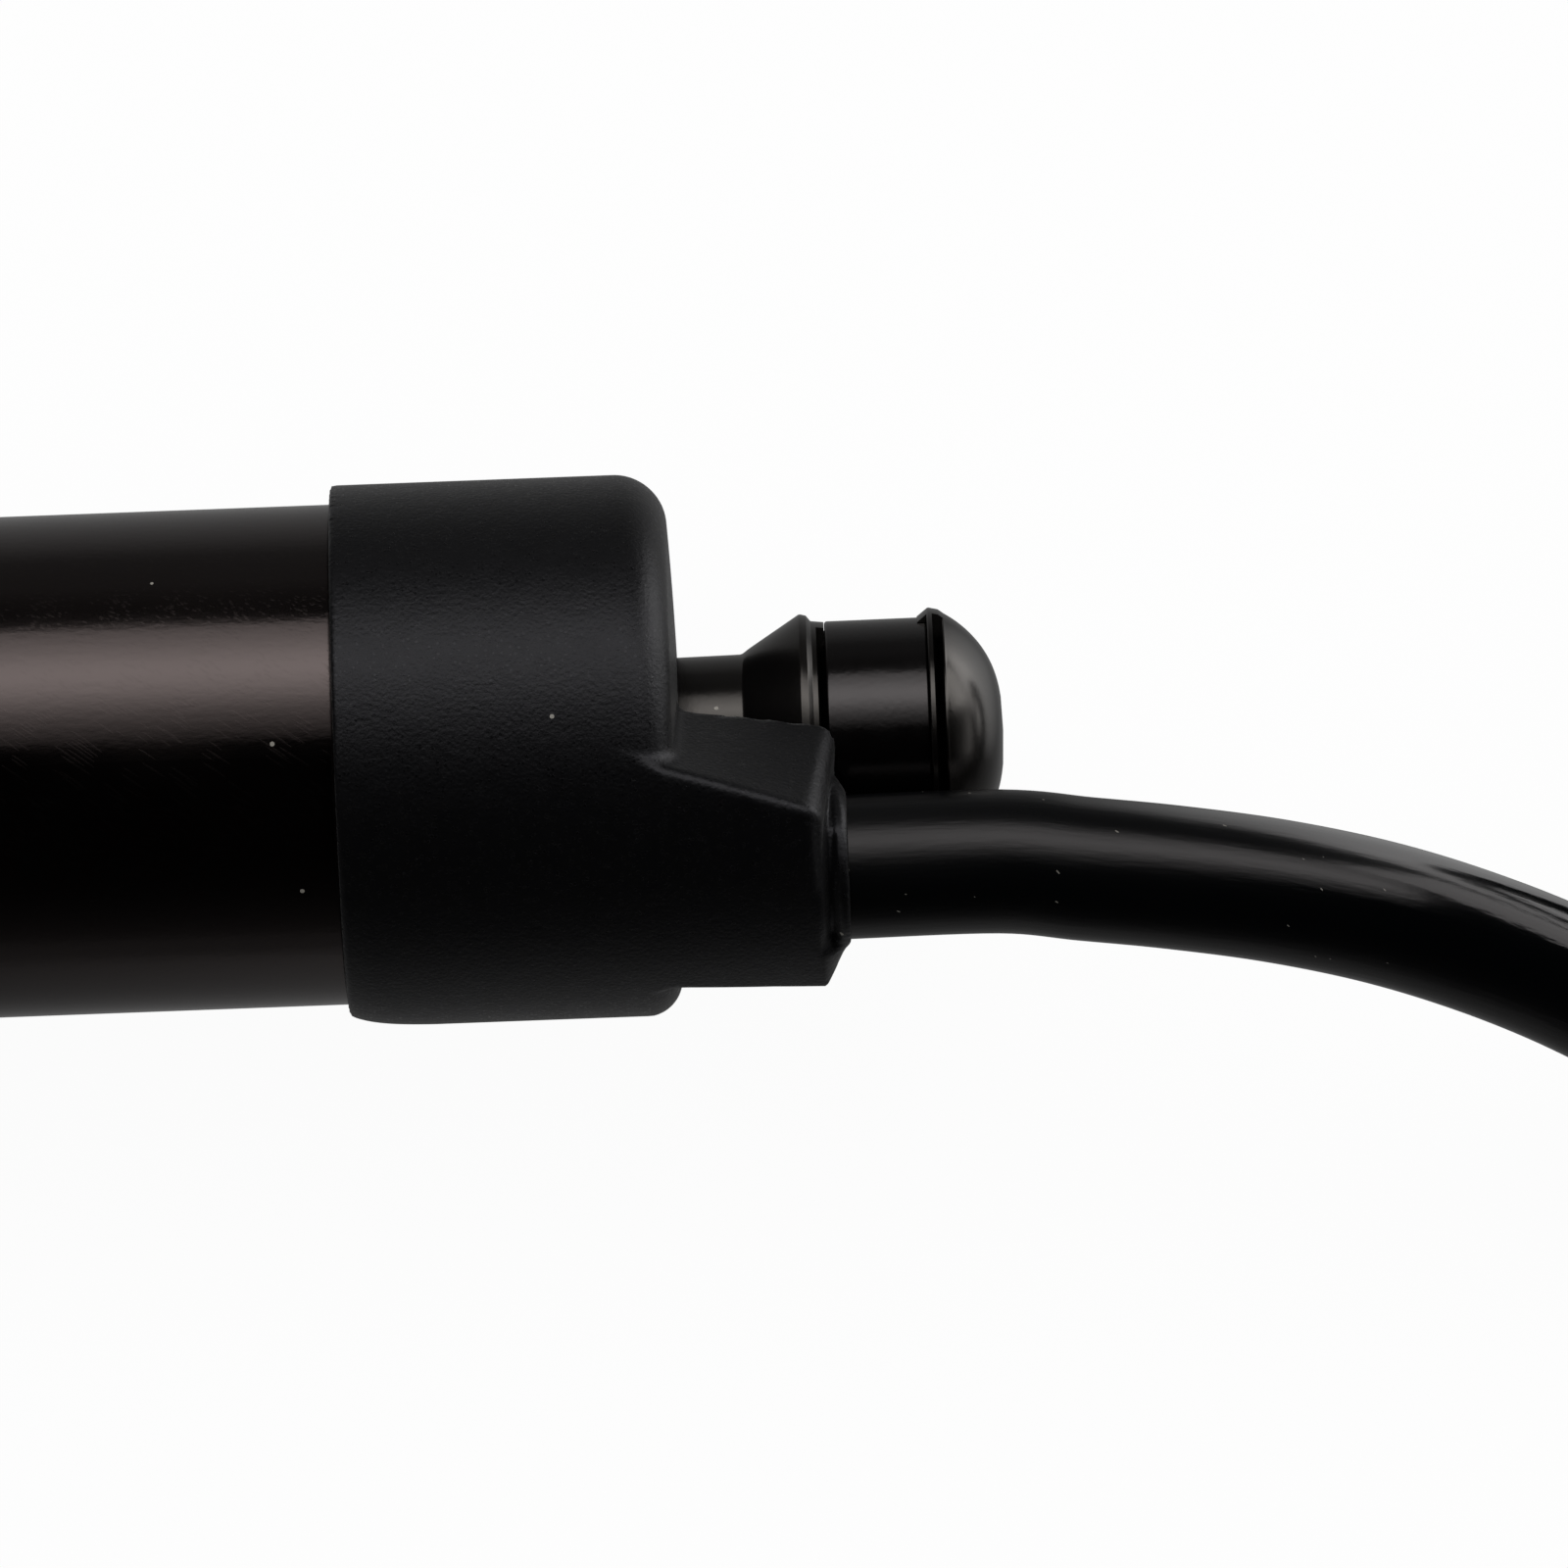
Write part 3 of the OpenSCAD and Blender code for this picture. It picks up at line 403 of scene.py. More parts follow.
def upright(name, outline, x, steps):
    """A turned cutter about the vertical through x; its outline is [z, r] in millimetres."""
    piece = lathe(name, outline, steps)
    turned = Matrix.Rotation(math.radians(-90), 4, "Y")
    piece.data.transform(Matrix.Translation((x * MM, 0, 0)) @ turned)
    return piece


def wear(piece, slot):
    """Puts a piece in a slot and gives it the slot's material."""
    piece.data.materials.clear()
    piece.data.materials.append(finishes[slot])


def stands_for(piece, *nodes):
    """A finished piece takes the place, body and slot of the nodes that it replaces."""
    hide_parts(*nodes)
    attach(piece, body_of[nodes[0]])
    wear(piece, slot_of[nodes[0]])
    return piece


# ---- Moulded shapes, each given as a distance field in millimetres ----

def round_join(a, b, r):
    """Both shapes together, with a fillet of radius r where they meet."""
    return np.maximum(r, np.minimum(a, b)) - np.hypot(np.maximum(r - a, 0), np.maximum(r - b, 0))


def round_meet(a, b, r):
    """What both shapes share, with its edge rounded to radius r."""
    return np.minimum(-r, np.maximum(a, b)) + np.hypot(np.maximum(r + a, 0), np.maximum(r + b, 0))


def skin(field, low, high, cell):
    """Points and quads of the surface where a field is zero: one point a cell, slid onto it."""
    axes = [np.arange(a, b + cell, cell) for a, b in zip(low, high)]
    value = field(*np.meshgrid(*axes, indexing="ij"))
    shape = np.array(value.shape) - 1
    total, count, edges = np.zeros((*shape, 3)), np.zeros(shape), []
    for d in range(3):
        near = value.take(range(shape[d]), axis=d)
        far = value.take(range(1, shape[d] + 1), axis=d)
        crossed = (near < 0) != (far < 0)
        start = np.argwhere(crossed)
        point = start.astype(float)
        point[:, d] += near[crossed] / (near[crossed] - far[crossed])
        e, f = (d + 1) % 3, (d + 2) % 3
        ring = []
        for back_e, back_f in ((1, 1), (0, 1), (0, 0), (1, 0)):
            cell_at = start.copy()
            cell_at[:, e] -= back_e
            cell_at[:, f] -= back_f
            np.add.at(total, tuple(cell_at.T), point)
            np.add.at(count, tuple(cell_at.T), 1)
            ring.append(cell_at)
        edges.append((ring, near[crossed] < 0))
    filled = count > 0
    number = np.full(shape, -1)
    number[filled] = np.arange(filled.sum())
    points = total[filled] / count[filled][:, None] * cell + np.array([a[0] for a in axes])
    quads = []
    for ring, from_inside in edges:
        loop = np.stack([number[tuple(c.T)] for c in ring], axis=1)
        quads += [loop[from_inside], loop[~from_inside][:, ::-1]]
    for _ in range(5):
        points -= slide(field, points, cell)
    return points, np.concatenate(quads)


def slide(field, points, cell):
    """How far each point is off the surface, along the field's steepest way."""
    e = 0.02
    x, y, z = points.T
    steep = np.stack([field(x + e, y, z) - field(x - e, y, z),
                      field(x, y + e, z) - field(x, y - e, z),
                      field(x, y, z + e) - field(x, y, z - e)], axis=1) / (2 * e)
    off = field(x, y, z)[:, None] * steep / np.maximum((steep ** 2).sum(1), 0.05)[:, None]
    return np.clip(off, -cell / 3, cell / 3)



def moulded(name, node, field, cell, box=None):
    """The skin of a field, in place of a node. The box it lies in is the node's own, grown by 1."""
    low, high = box_mm(node)
    low, high = box or (low - 1, high + 1)
    points, faces = skin(field, low, high, cell)
    return stands_for(new_piece(name, points * MM, faces), node)


# End cap: places along the strut are distances s from the ball centre towards the tube
boss_turn = math.radians(41.5)
cable_path_r = cap_r - 5.3
stem_r = 5.9
neck_s = 2.5
cap_seat_s = 16.5
cap_rim_s = -cap_rim_x
bore_slack = 0.04


def cap_body(x, y, z):
    """The soft cap over the tube: its face is crowned and its lower rim draws in to the tube."""
    s = -x
    sag, face_s, crown = 0.15, 13.85, 0.55
    low_y = y + sag
    r = np.hypot(low_y, z)
    up = low_y / np.maximum(r, 1)
    from_rim = np.maximum(cap_rim_s - s, 0)
    wall = cap_r - 0.12 - 0.85 * np.maximum(-up, 0) ** 2 * np.exp(-from_rim / 1.8)
    outside = r - wall
    face = face_s + crown * (r / 17) ** 2 - s
    shell = round_meet(outside, face, 2.9 + 0.5 * up)
    shell = round_meet(shell, s - cap_rim_s, 0.25)
    bore = np.maximum(np.hypot(y, z) - tube_r - bore_slack, cap_seat_s - s)
    return round_meet(shell, -bore, 0.15)


def across_boss(y, z):
    """Distances along and across the boss's own direction."""
    return (-y * math.sin(boss_turn) + z * math.cos(boss_turn),
            y * math.cos(boss_turn) + z * math.sin(boss_turn))


def boss_body(x, y, z):
    """The cable boss: one side flares to its root, and past its blunt tip a neck runs to the cable,
    grooved where it meets the tip and flush with the tip's lower side."""
    s = -x
    u, v = across_boss(y, z)
    r = np.hypot(y, z)
    tip_at, flare_length = 3.9, 10.1
    t = np.clip((s - tip_at) / flare_length, 0, 1.4)
    tip_upper, tip_lower = 6.75 + 0.121 * (u - 6.57), 7.0 + 0.121 * (u - 6.57)
    root_upper, root_lower = 7.64 + 0.322 * (u - 5.31), 6.4 + 0.12 * (u - 6.57)
    upper = v - tip_upper - (root_upper - tip_upper) * t
    lower = -v - tip_lower - (root_lower - tip_lower) * t
    prism = round_meet(np.maximum(upper, lower), r - (cap_r - 0.05), 0.6)
    prism = round_meet(prism, 5 - u, 0.3)
    tip_s = tip_at + (u - cable_path_r) * math.tan(math.radians(7))
    tip_round = 0.3 + 0.95 * np.clip((v - 1) / 5, 0, 1)
    blunt = round_meet(prism, tip_s - s, tip_round)
    flush = np.clip((-v - 2.5) / 1.5, 0, 1)
    groove = 1.1 * (1 - flush) * np.exp(-((s - 3.8) / 0.42) ** 2)
    ring = np.hypot(u - cable_path_r, v) - 5.25 + groove
    share = np.clip((s - neck_s) / np.maximum(tip_s - neck_s, 0.9), 0, 1) * (0.4 + 0.6 * flush)
    neck = ((1 - share) * ring + share * prism) / 1.3
    neck = np.maximum(round_meet(neck, neck_s - s, 0.2), s - 6)
    boss = np.minimum(blunt, neck)
    boss = round_meet(boss, 9.25 - r, 0.25)
    return np.maximum(boss, s - 17.5)


def cap_field(x, y, z):
    u, v = across_boss(y, z)
    body = round_join(cap_body(x, y, z), boss_body(x, y, z), 0.8)
    body = np.maximum(body, np.hypot(y + 0.05, z) - cap_r + 0.05)
    bore = np.maximum(np.hypot(y, z) - tube_r - bore_slack, cap_seat_s + x)
    body = round_meet(body, -bore, 0.15)
    stem_hole = np.hypot(y, z) - stem_r - 0.12
    wire_at, wire_r = 12.3, 2.4
    wire_hole = np.hypot(u - wire_at, v) - wire_r
    return round_meet(body, -np.minimum(stem_hole, wire_hole), 0.2)


def make_end_cap():
    box = (cap_rim_x - 1, -cap_r - 1, -cap_r - 1), (-1.5, cap_r + 1, cap_r + 1)
    moulded("moulded_end_cap", "end_cap", cap_field, 0.325, box)


# ---- Ball sockets ----

def socket_outline():
    """Half outline of the socket, [x, r]: stem, cone up to a ridge, waist, ridge and nose."""
    body = soften([(-16.5, 0, 0), (-16.5, 5.85, 0.1), (-9.4, 5.95, 0.6), (-8.85, 6.35, 0.4),
                   (-5.28, 8.62, 0.28), (-4.82, 8.5, 0.12), (-4.5, 8.1, 0.1), (-3.6, 8.0, 0.05),
                   (-3.6, 7.4, 0.02), (3.66, 7.4, 0.04), (3.62, 8.12, 0.02), (2.9, 8.12, 0.02),
                   (3.72, 8.76, 0.2), (4.42, 8.6, 0.25), (4.84, 8.29, 0)])
    nose = []
    for i in range(1, 41):
        x = 4.84 + 3.86 * i / 40
        nose.append((x, 8.72 * max(0, 1 - ((x - 3.9) / 4.8) ** 1.23) ** 0.35))
    return body + nose


def at_rod_end(piece):
    """Turns a piece of the motor end half round and moves it to the rod-end ball centre."""
    x = frame["record"]["mounts"][1]["pos_m"][0]
    piece.data.transform(Matrix.Translation((x, 0, 0)) @ Matrix.Rotation(math.pi, 4, "Z"))
    return piece


def side_groove(name, outline):
    """A ring cutter for a groove that runs over the side away from the ball's mouth only."""
    ring = lathe(name, outline, 192, ring=True)
    return cut_away(ring, [bar("kept_side", (-9, -12, -12), (9, 12, 2.6))])


def make_socket(name):
    piece = lathe(name, socket_outline(), 192, sharp=28)
    ball_r = 5.05
    ball = [(ball_r * math.sin(math.radians(a)), ball_r * math.cos(math.radians(a)))
            for a in range(90, -1, -5)]
    mouth = ball + [(-4.8, ball_r), (-6.4, 5.95), (-6.4, 6.9), (-10, 6.9), (-10, 0)]
    cutters = [upright("mouth", mouth, 0, 128),
               side_groove("clip_groove", [(-4.25, 8.6), (-3.93, 6.7), (-3.55, 7.3), (-3.55, 8.6)]),
               side_groove("clip_side", [(2.6, 8.09), (3.6, 8.09), (3.6, 9.5), (2.6, 9.5)]),
               side_groove("nose_groove", [(3.94, 9.5), (3.98, 8.3), (4.3, 7.1), (4.68, 8.3),
                                           (4.95, 8.4), (4.95, 9.5)])]
    for side in (-1, 1):
        ys = sorted((side * 5.55, side * 9))
        cutters.append(bar("lug_slot", (-2, ys[0], -4.6), (2, ys[1], -3.2)))
    return cut_away(piece, cutters, 28)


def make_clip(name):
    """The spring band in the socket's waist, open over the ball's mouth."""
    inner = 7.42
    band = [(3.6, inner, 0.1), (3.6, 8.08, 0.2), (-3.56, 8.04, 0.2), (-3.56, inner, 0.1)]
    piece = lathe(name, loop_of((0, inner), band), 192, ring=True, sharp=28)
    return cut_away(piece, [bar("gap", (-8, -6, -10), (8, 6, -3))], 28)


# ---- Tubes, collar and plug ----

def make_tube():
    inner = tube_r - 1.5
    loop = loop_of((0.5 * (tube_start + tube_end), inner), [
        (tube_start, inner, 0.3), (tube_start, tube_r, 0.4), (tube_end, tube_r, 0.4),
        (tube_end, inner, 0.3)], 4)
    stands_for(lathe("drawn_tube", loop, 224, ring=True), "housing_tube")


def make_sliding_tube():
    """The tube that slides out, with a groove rolled into it over the rod-end plug."""
    start, end, r = span_mm("sliding_tube")
    inner, groove = r - 1, end + 5.5
    loop = loop_of((0.5 * (start + end), inner), [
        (start, inner, 0.2), (start, r, 0.3), (groove + 1.1, r, 0.5), (groove, r - 0.55, 0.7),
        (groove - 1.1, r, 0.5), (end, r, 0.3), (end, inner, 0.2)], 5)
    stands_for(lathe("polished_slide", loop, 208, ring=True), "sliding_tube")


def make_wiper_ring():
    """The collar over the tube's mouth: rounded, grooved, with a thin wiping lip at its nose."""
    back, front, r = span_mm("wiper_ring")
    seat, slide = tube_r, 15.55
    shoulder = front + 3
    loop = loop_of((back - 6, seat), [
        (back, seat, 0.15), (back, r, 1.0), (back - 8.6, r, 0.2), (back - 8.8, r - 0.5, 0.15),
        (back - 9.6, r - 0.5, 0.15), (back - 9.8, r, 0.2), (shoulder + 0.3, r, 1.0),
        (shoulder - 0.2, r - 1.1, 0.3), (front + 1.3, r - 2.0, 0.2), (front + 1.1, r - 2.5, 0.15),
        (front + 0.7, r - 2.2, 0.15), (front, r - 2.7, 0.25), (front, slide + 0.2, 0.1),
        (front + 0.5, slide, 0.1), (shoulder, slide, 0.1), (shoulder, seat, 0)], 5)
    stands_for(lathe("wiper_collar", loop, 208, ring=True), "wiper_ring")


def make_rod_plug():
    """The turned plug in the sliding tube's end, with a stepped flange and a blind bore."""
    start, tip, r = span_mm("rod_end_plug")
    seat, face = start - 12, start - 15
    outline = soften([
        (start - 3, 0, 0), (start - 3, 8.0, 0.1), (start, 8.0, 0.1), (start, 14.48, 0.4),
        (seat, 14.48, 0), (seat, r, 0.5), (face, r, 0.7), (face, 13.2, 0.1),
        (face + 0.35, 12.9, 0.1), (face + 0.35, 7.4, 0.1), (face, 7.1, 0.1), (face, 4.0, 0.1),
        (tip, 4.0, 0.4), (tip, 0, 0)], 5)
    stands_for(lathe("turned_rod_plug", outline, 192), "rod_end_plug")


# ---- Shapes that follow a rule, grown by geometry trees ----

def new_shape(name, **inputs):
    return new_tree("Geometry", name, {**inputs, "Material": "Material"}, {"Geometry": "Geometry"})


def end_shape(tree, given, ends, geometry):
    """Makes instances real, sets the material and closes the tree."""
    real = put(tree, "GeometryNodeRealizeInstances", geometry).outputs[0]
    dressed = put(tree, "GeometryNodeSetMaterial", real)
    link(tree, given["Material"], dressed.inputs["Material"])
    link(tree, dressed.outputs[0], ends["Geometry"])
    return tree


def scaled(tree, way, factor):
    made = put(tree, "VectorMath", way, operation="SCALE")
    link(tree, factor, made.inputs["Scale"])
    return made.outputs[0]


def here(tree):
    """X, Y and Z of each point."""
    position = put(tree, "GeometryNodeInputPosition").outputs[0]
    return put(tree, "SeparateXYZ", position).outputs


def tube_along(tree, line, sides, radius):
    """A closed round tube along a curve."""
    circle = put(tree, "GeometryNodeCurvePrimitiveCircle", sides)
    link(tree, radius, circle.inputs["Radius"])
    tube = put(tree, "GeometryNodeCurveToMesh", line, circle.outputs[0])
    tube.inputs["Fill Caps"].default_value = True
    return tube.outputs[0]


def grow(name, tree, sharp, **sizes):
    """Runs a tree with these sizes and keeps what it makes as a plain mesh."""
    piece = shown(name, bpy.data.meshes.new(name))
    modifier = piece.modifiers.new("shape", "NODES")
    modifier.node_group = tree
    for socket in tree.interface.items_tree:
        if socket.in_out == "INPUT" and socket.name in sizes:
            modifier[socket.identifier] = sizes[socket.name]
    keep_shape(piece)
    return outward(piece, sharp)


def threaded_rod_tree():
    """A rod along X whose surface is cut by a multi-start thread with sloped flanks."""
    tree, given, ends = new_shape("threaded_rod", Start=0.0, End=-0.1, Radius=0.005, Depth=0.0008,
                                  Lead=0.012, Starts=4, Sides=48, Rings=400)
    maths = partial(sum_of, tree)
    corners = [put(tree, "CombineXYZ", given[key]).outputs[0] for key in ("Start", "End")]
    line = put(tree, "GeometryNodeCurvePrimitiveLine", *corners).outputs[0]
    rings = put(tree, "GeometryNodeResampleCurve", line)
    link(tree, given["Rings"], rings.inputs["Count"])
    rod = tube_along(tree, rings.outputs[0], given["Sides"], given["Radius"])
    at = here(tree)
    turn = maths("DIVIDE", maths("ARCTAN2", at["Z"], at["Y"]), 2 * math.pi)
    run = maths("DIVIDE", at["X"], given["Lead"])
    phase = maths("FRACT", maths("MULTIPLY", maths("ADD", turn, run), given["Starts"]))
    crest = maths("ABSOLUTE", maths("SUBTRACT", maths("MULTIPLY", phase, 2.0), 1.0))
    flank = put(tree, "MapRange", crest, 0.3, 0.62, 0.0, 1.0,
                interpolation_type="SMOOTHSTEP")
    cut = maths("MULTIPLY", flank.outputs[0], given["Depth"])
    way = put(tree, "CombineXYZ", 0.0, at["Y"], at["Z"]).outputs[0]
    outwards = put(tree, "VectorMath", way, operation="NORMALIZE").outputs[0]
    shaped = put(tree, "GeometryNodeSetPosition", rod)
    link(tree, scaled(tree, outwards, maths("MULTIPLY", cut, -1.0)), shaped.inputs["Offset"])
    return end_shape(tree, given, ends, shaped.outputs[0])


def coil_spring_tree():
    """A round wire wound about X, its first and last turns laid close."""
    tree, given, ends = new_shape("coil_spring", Start=0.0, End=-0.3, Mean=0.013, Wire=0.0028,
                                  Turns=50.0, Close=0.0034, Steps=30, Sides=12)
    maths = partial(sum_of, tree)
    winding = put(tree, "GeometryNodeCurveSpiral")
    for key, source in (("Resolution", "Steps"), ("Rotations", "Turns"), ("Start Radius", "Mean"),
                        ("End Radius", "Mean")):
        link(tree, given[source], winding.inputs[key])
    winding.inputs["Height"].default_value = 1.0
    at = here(tree)
    turn = maths("MULTIPLY", at["Z"], given["Turns"])
    span = maths("SUBTRACT", maths("SUBTRACT", given["Start"], given["End"]), given["Wire"])
    closed = maths("MULTIPLY", given["Close"], 2.0)
    open_turns = maths("SUBTRACT", given["Turns"], 2.0)
    pitch = maths("DIVIDE", maths("SUBTRACT", span, closed), open_turns)
    first = maths("MULTIPLY", maths("MINIMUM", turn, 1.0), given["Close"])
    past_first = maths("SUBTRACT", turn, 1.0)
    inner = maths("MAXIMUM", maths("MINIMUM", past_first, open_turns), 0.0)
    beyond = maths("MAXIMUM", maths("SUBTRACT", past_first, open_turns), 0.0)
    rise = maths("ADD", first, maths("MULTIPLY", inner, pitch))
    rise = maths("ADD", rise, maths("MULTIPLY", beyond, given["Close"]))
    half = maths("MULTIPLY", given["Wire"], 0.5)
    along = maths("SUBTRACT", maths("SUBTRACT", given["Start"], half), rise)
    laid = put(tree, "GeometryNodeSetPosition", winding.outputs[0])
    place = put(tree, "CombineXYZ", along, at["X"], at["Y"]).outputs[0]
    link(tree, place, laid.inputs["Position"])
    wire = tube_along(tree, laid.outputs[0], given["Sides"], half)
    return end_shape(tree, given, ends, wire)


def pin_rows_tree():
    """Two rows of square pins with chamfered tips, pointing along X."""
    tree, given, ends = new_shape("pin_rows", Side=0.00064, Length=0.012, Columns=4, Pitch=0.004,
                                  Gap=0.004, Place=(0, 0, 0))
    maths = partial(sum_of, tree)
    half = maths("DIVIDE", given["Side"], math.sqrt(2))

    def cone(top, depth):
        made = put(tree, "GeometryNodeMeshCone", 4, fill_type="NGON")
        for key, source in (("Radius Bottom", half), ("Radius Top", top), ("Depth", depth)):
            link(tree, source, made.inputs[key])
        return made.outputs[0]

    shank = cone(half, given["Length"])
    chamfer = cone(maths("MULTIPLY", half, 0.45), maths("MULTIPLY", given["Side"], 0.8))
    lifted = put(tree, "GeometryNodeTransform", chamfer)
    up = put(tree, "CombineXYZ", 0.0, 0.0, given["Length"]).outputs[0]
    link(tree, up, lifted.inputs["Translation"])
    pin = tree.nodes.new("GeometryNodeJoinGeometry")
    link(tree, shank, pin.inputs[0])
    link(tree, lifted.outputs[0], pin.inputs[0])
    width = maths("MULTIPLY", maths("SUBTRACT", given["Columns"], 1.0), given["Pitch"])
    rows = put(tree, "GeometryNodeMeshGrid", width, given["Gap"], given["Columns"], 2)
    pins = put(tree, "GeometryNodeInstanceOnPoints", rows.outputs[0])
    link(tree, pin.outputs[0], pins.inputs["Instance"])
    pins.inputs["Rotation"].default_value = (0, 0, math.radians(45))
    stood = put(tree, "GeometryNodeTransform", pins.outputs[0])
    stood.inputs["Rotation"].default_value = (math.radians(90), 0, math.radians(90))
    link(tree, given["Place"], stood.inputs["Translation"])
    return end_shape(tree, given, ends, stood.outputs[0])


def joined(name, pieces):
    """One mesh from several pieces, which are removed."""
    work = bmesh.new()
    for piece in pieces:
        work.from_mesh(piece.data)
    whole = finished(name, work)
    for piece in pieces:
        bpy.data.objects.remove(piece)
    crisp(whole.data, 35)
    return whole


def make_spindle(material):
    """Four-start spindle: hexagonal drive end, bearing seat, thread and turned-down tip."""
    drive, tip, _ = span_mm("spindle")
    r, shoulder, thread_end = 5.0, drive - 13.5, tip + 8
    hexagon = [(drive, 0), (drive, 4.04), (shoulder - 0.5, 4.04), (shoulder - 0.5, 0)]
    drive_end = lathe("drive_end", hexagon, 6, sharp=20)
    neck = lathe("neck", soften([(shoulder + 0.3, 0, 0), (shoulder + 0.3, r, 0.4),
                                 (shoulder - 4, r, 0.4), (shoulder - 4.6, 4.1, 0),
                                 (shoulder - 4.6, 0, 0)]), 64)
    rings = 1180
    thread = grow("thread", threaded_rod_tree(), 50, Start=(shoulder - 4) * MM, End=thread_end * MM,
                  Radius=(r - 0.02) * MM, Depth=0.0008, Sides=40, Rings=rings, Material=material)
    stub = lathe("stub", soften([(thread_end + 0.3, 0, 0), (thread_end + 0.3, 3.95, 0.1),
                                 (tip, 3.95, 0.5), (tip, 0, 0)]), 64)
    stands_for(joined("four_start_spindle", [drive_end, neck, thread, stub]), "spindle")


def make_lift_spring(material):
    """The spring round the guide tube."""
    low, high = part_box("lift_spring")
    start, end = float(high[0]), float(low[0])
    spring = grow("wound_lift_spring", coil_spring_tree(), 60, Start=start, End=end,
                  Mean=0.01293, Wire=0.0028, Turns=50.0, Close=0.00335, Material=material)
    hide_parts("lift_spring")
    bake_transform(spring)
    wear(spring, slot_of["lift_spring"])


# ---- Cable ----

cable_d = 0.010
strap_t = 0.0014
lying_z = floor_z * MM + cable_d / 2
tied_z = lying_z + strap_t
exit_x = -0.0025
exit_y = -cable_path_r * MM * math.sin(boss_turn)
exit_z = cable_path_r * MM * math.cos(boss_turn)
hank_y, hank_x, hank_half, hank_end = -0.032, 0.168, 0.075, 0.028
strand, fold_inner, bound_half = 0.0105, 0.030, 0.005
lead_points = [
    (exit_x, exit_y, exit_z), (0.008, exit_y, exit_z), (0.014, -0.0099, 0.0105),
    (0.020, -0.0107, 0.0098), (0.027, -0.0119, 0.0082), (0.034, -0.0136, 0.0058),
    (0.0405, -0.0158, 0.003), (0.047, -0.0186, -0.0004), (0.054, -0.0223, -0.0044),
    (0.061, -0.026, -0.0084), (0.068, -0.0291, -0.0116), (0.075, -0.0312, -0.0134),
    (0.082, hank_y, lying_z), (hank_x - hank_half, hank_y, lying_z),
]


def smooth_path(points, steps):
    """Points along a curve that passes through all the given ones."""
    p = [np.array(q) for q in points]
    path = []
    for i in range(len(p) - 1):
        a, b, c, d = p[max(i - 1, 0)], p[i], p[i + 1], p[min(i + 2, len(p) - 1)]
        for k in range(steps):
            t = k / steps
            path.append(0.5 * (2 * b + (c - a) * t + (2 * a - 5 * b + 4 * c - d) * t * t
                               + (3 * b - a - 3 * c + d) * t ** 3))
    return path + [p[-1]]


def hank_path():
    """Out along the first run, round the far fold, back, round the near fold and out again."""
    fold_outer = fold_inner + strand / 2
    second_y = hank_y + 2 * fold_outer
    third_y = second_y - 2 * fold_inner
    steps = 40

    def strand_at(x, at_fold, at_waist):
        pull = math.cos(math.pi / 2 * max(0, abs(x) - bound_half) / (hank_half - bound_half)) ** 2
        return (hank_x + x, at_fold + (at_waist - at_fold) * pull, lying_z + strap_t * pull)

    def fold(end, y, r):
        angles = [end * math.pi * (i / 32 - 0.5) for i in range(1, 32)]
        return [(hank_x + end * (hank_half + r * math.cos(a)), y + r * math.sin(a), lying_z)
                for a in angles]

    out = [hank_half * (2 * i / steps - 1) for i in range(1, steps + 1)]
    path = [strand_at(x, hank_y, -strand) for x in out] + fold(1, hank_y + fold_outer, fold_outer)
    path += [strand_at(-x, second_y, strand) for x in [-hank_half] + out]
    path += fold(-1, second_y - fold_inner, fold_inner)
    path += [strand_at(x, third_y, 0) for x in [-hank_half] + out if x < 0]
    straight = [hank_end * i / 6 for i in range(7)]
    return [np.array(p) for p in path + [(hank_x + x, 0, tied_z) for x in straight]]


def sweep(name, path, radius, sides=40):
    """A closed round tube along a path, with a UV map in metres: along the tube, round it."""
    path = [np.array(p, float) for p in path]
    n = len(path)
    ahead = [path[min(i + 1, n - 1)] - path[max(i - 1, 0)] for i in range(n)]
    ahead = [a / np.linalg.norm(a) for a in ahead]
    ahead[0], ahead[-1] = np.array((1.0, 0, 0)), np.array((1.0, 0, 0))
    across = np.cross(ahead[0], (0, 0, 1.0))
    points, runs, run = [], [], 0.0
    for i in range(n):
        across = across - ahead[i] * (across @ ahead[i])
        across = across / np.linalg.norm(across)
        up = np.cross(across, ahead[i])
        run += float(np.linalg.norm(path[i] - path[i - 1])) if i else 0.0
        runs.append(run)
        for k in range(sides):
            a = 2 * math.pi * k / sides
            points.append(path[i] + radius * (math.cos(a) * across + math.sin(a) * up))
    faces = [(i * sides + k, i * sides + (k + 1) % sides, (i + 1) * sides + (k + 1) % sides,
              (i + 1) * sides + k) for i in range(n - 1) for k in range(sides)]
    faces += [tuple(range(sides))[::-1], tuple((n - 1) * sides + k for k in range(sides))]
    mesh = bpy.data.meshes.new(name)
    mesh.from_pydata([tuple(p) for p in points], [], faces)
    around = 2 * math.pi * radius
    layer = mesh.uv_layers.new(name="along")
    for face in mesh.polygons:
        if len(face.vertices) != 4:
            continue
        i, k = divmod(face.index, sides)
        for loop, (di, dk) in zip(face.loop_indices, ((0, 0), (0, 1), (1, 1), (1, 0))):
            layer.data[loop].uv = (runs[i + di], around * (k + dk) / sides)
    return outward(shown(name, mesh), 60), run


connector_x = (hank_x + hank_end) / MM
tied_height = tied_z / MM
flat_z = -6.37


def block(x, y, z, low, high, r):
    """A block between two corners with its edges rounded to r."""
    sides = [np.abs(p - (a + b) / 2) - (b - a) / 2 for p, a, b in zip((x, y, z), low, high)]
    return round_meet(round_meet(sides[1], sides[2], r), sides[0], min(r, 0.4))


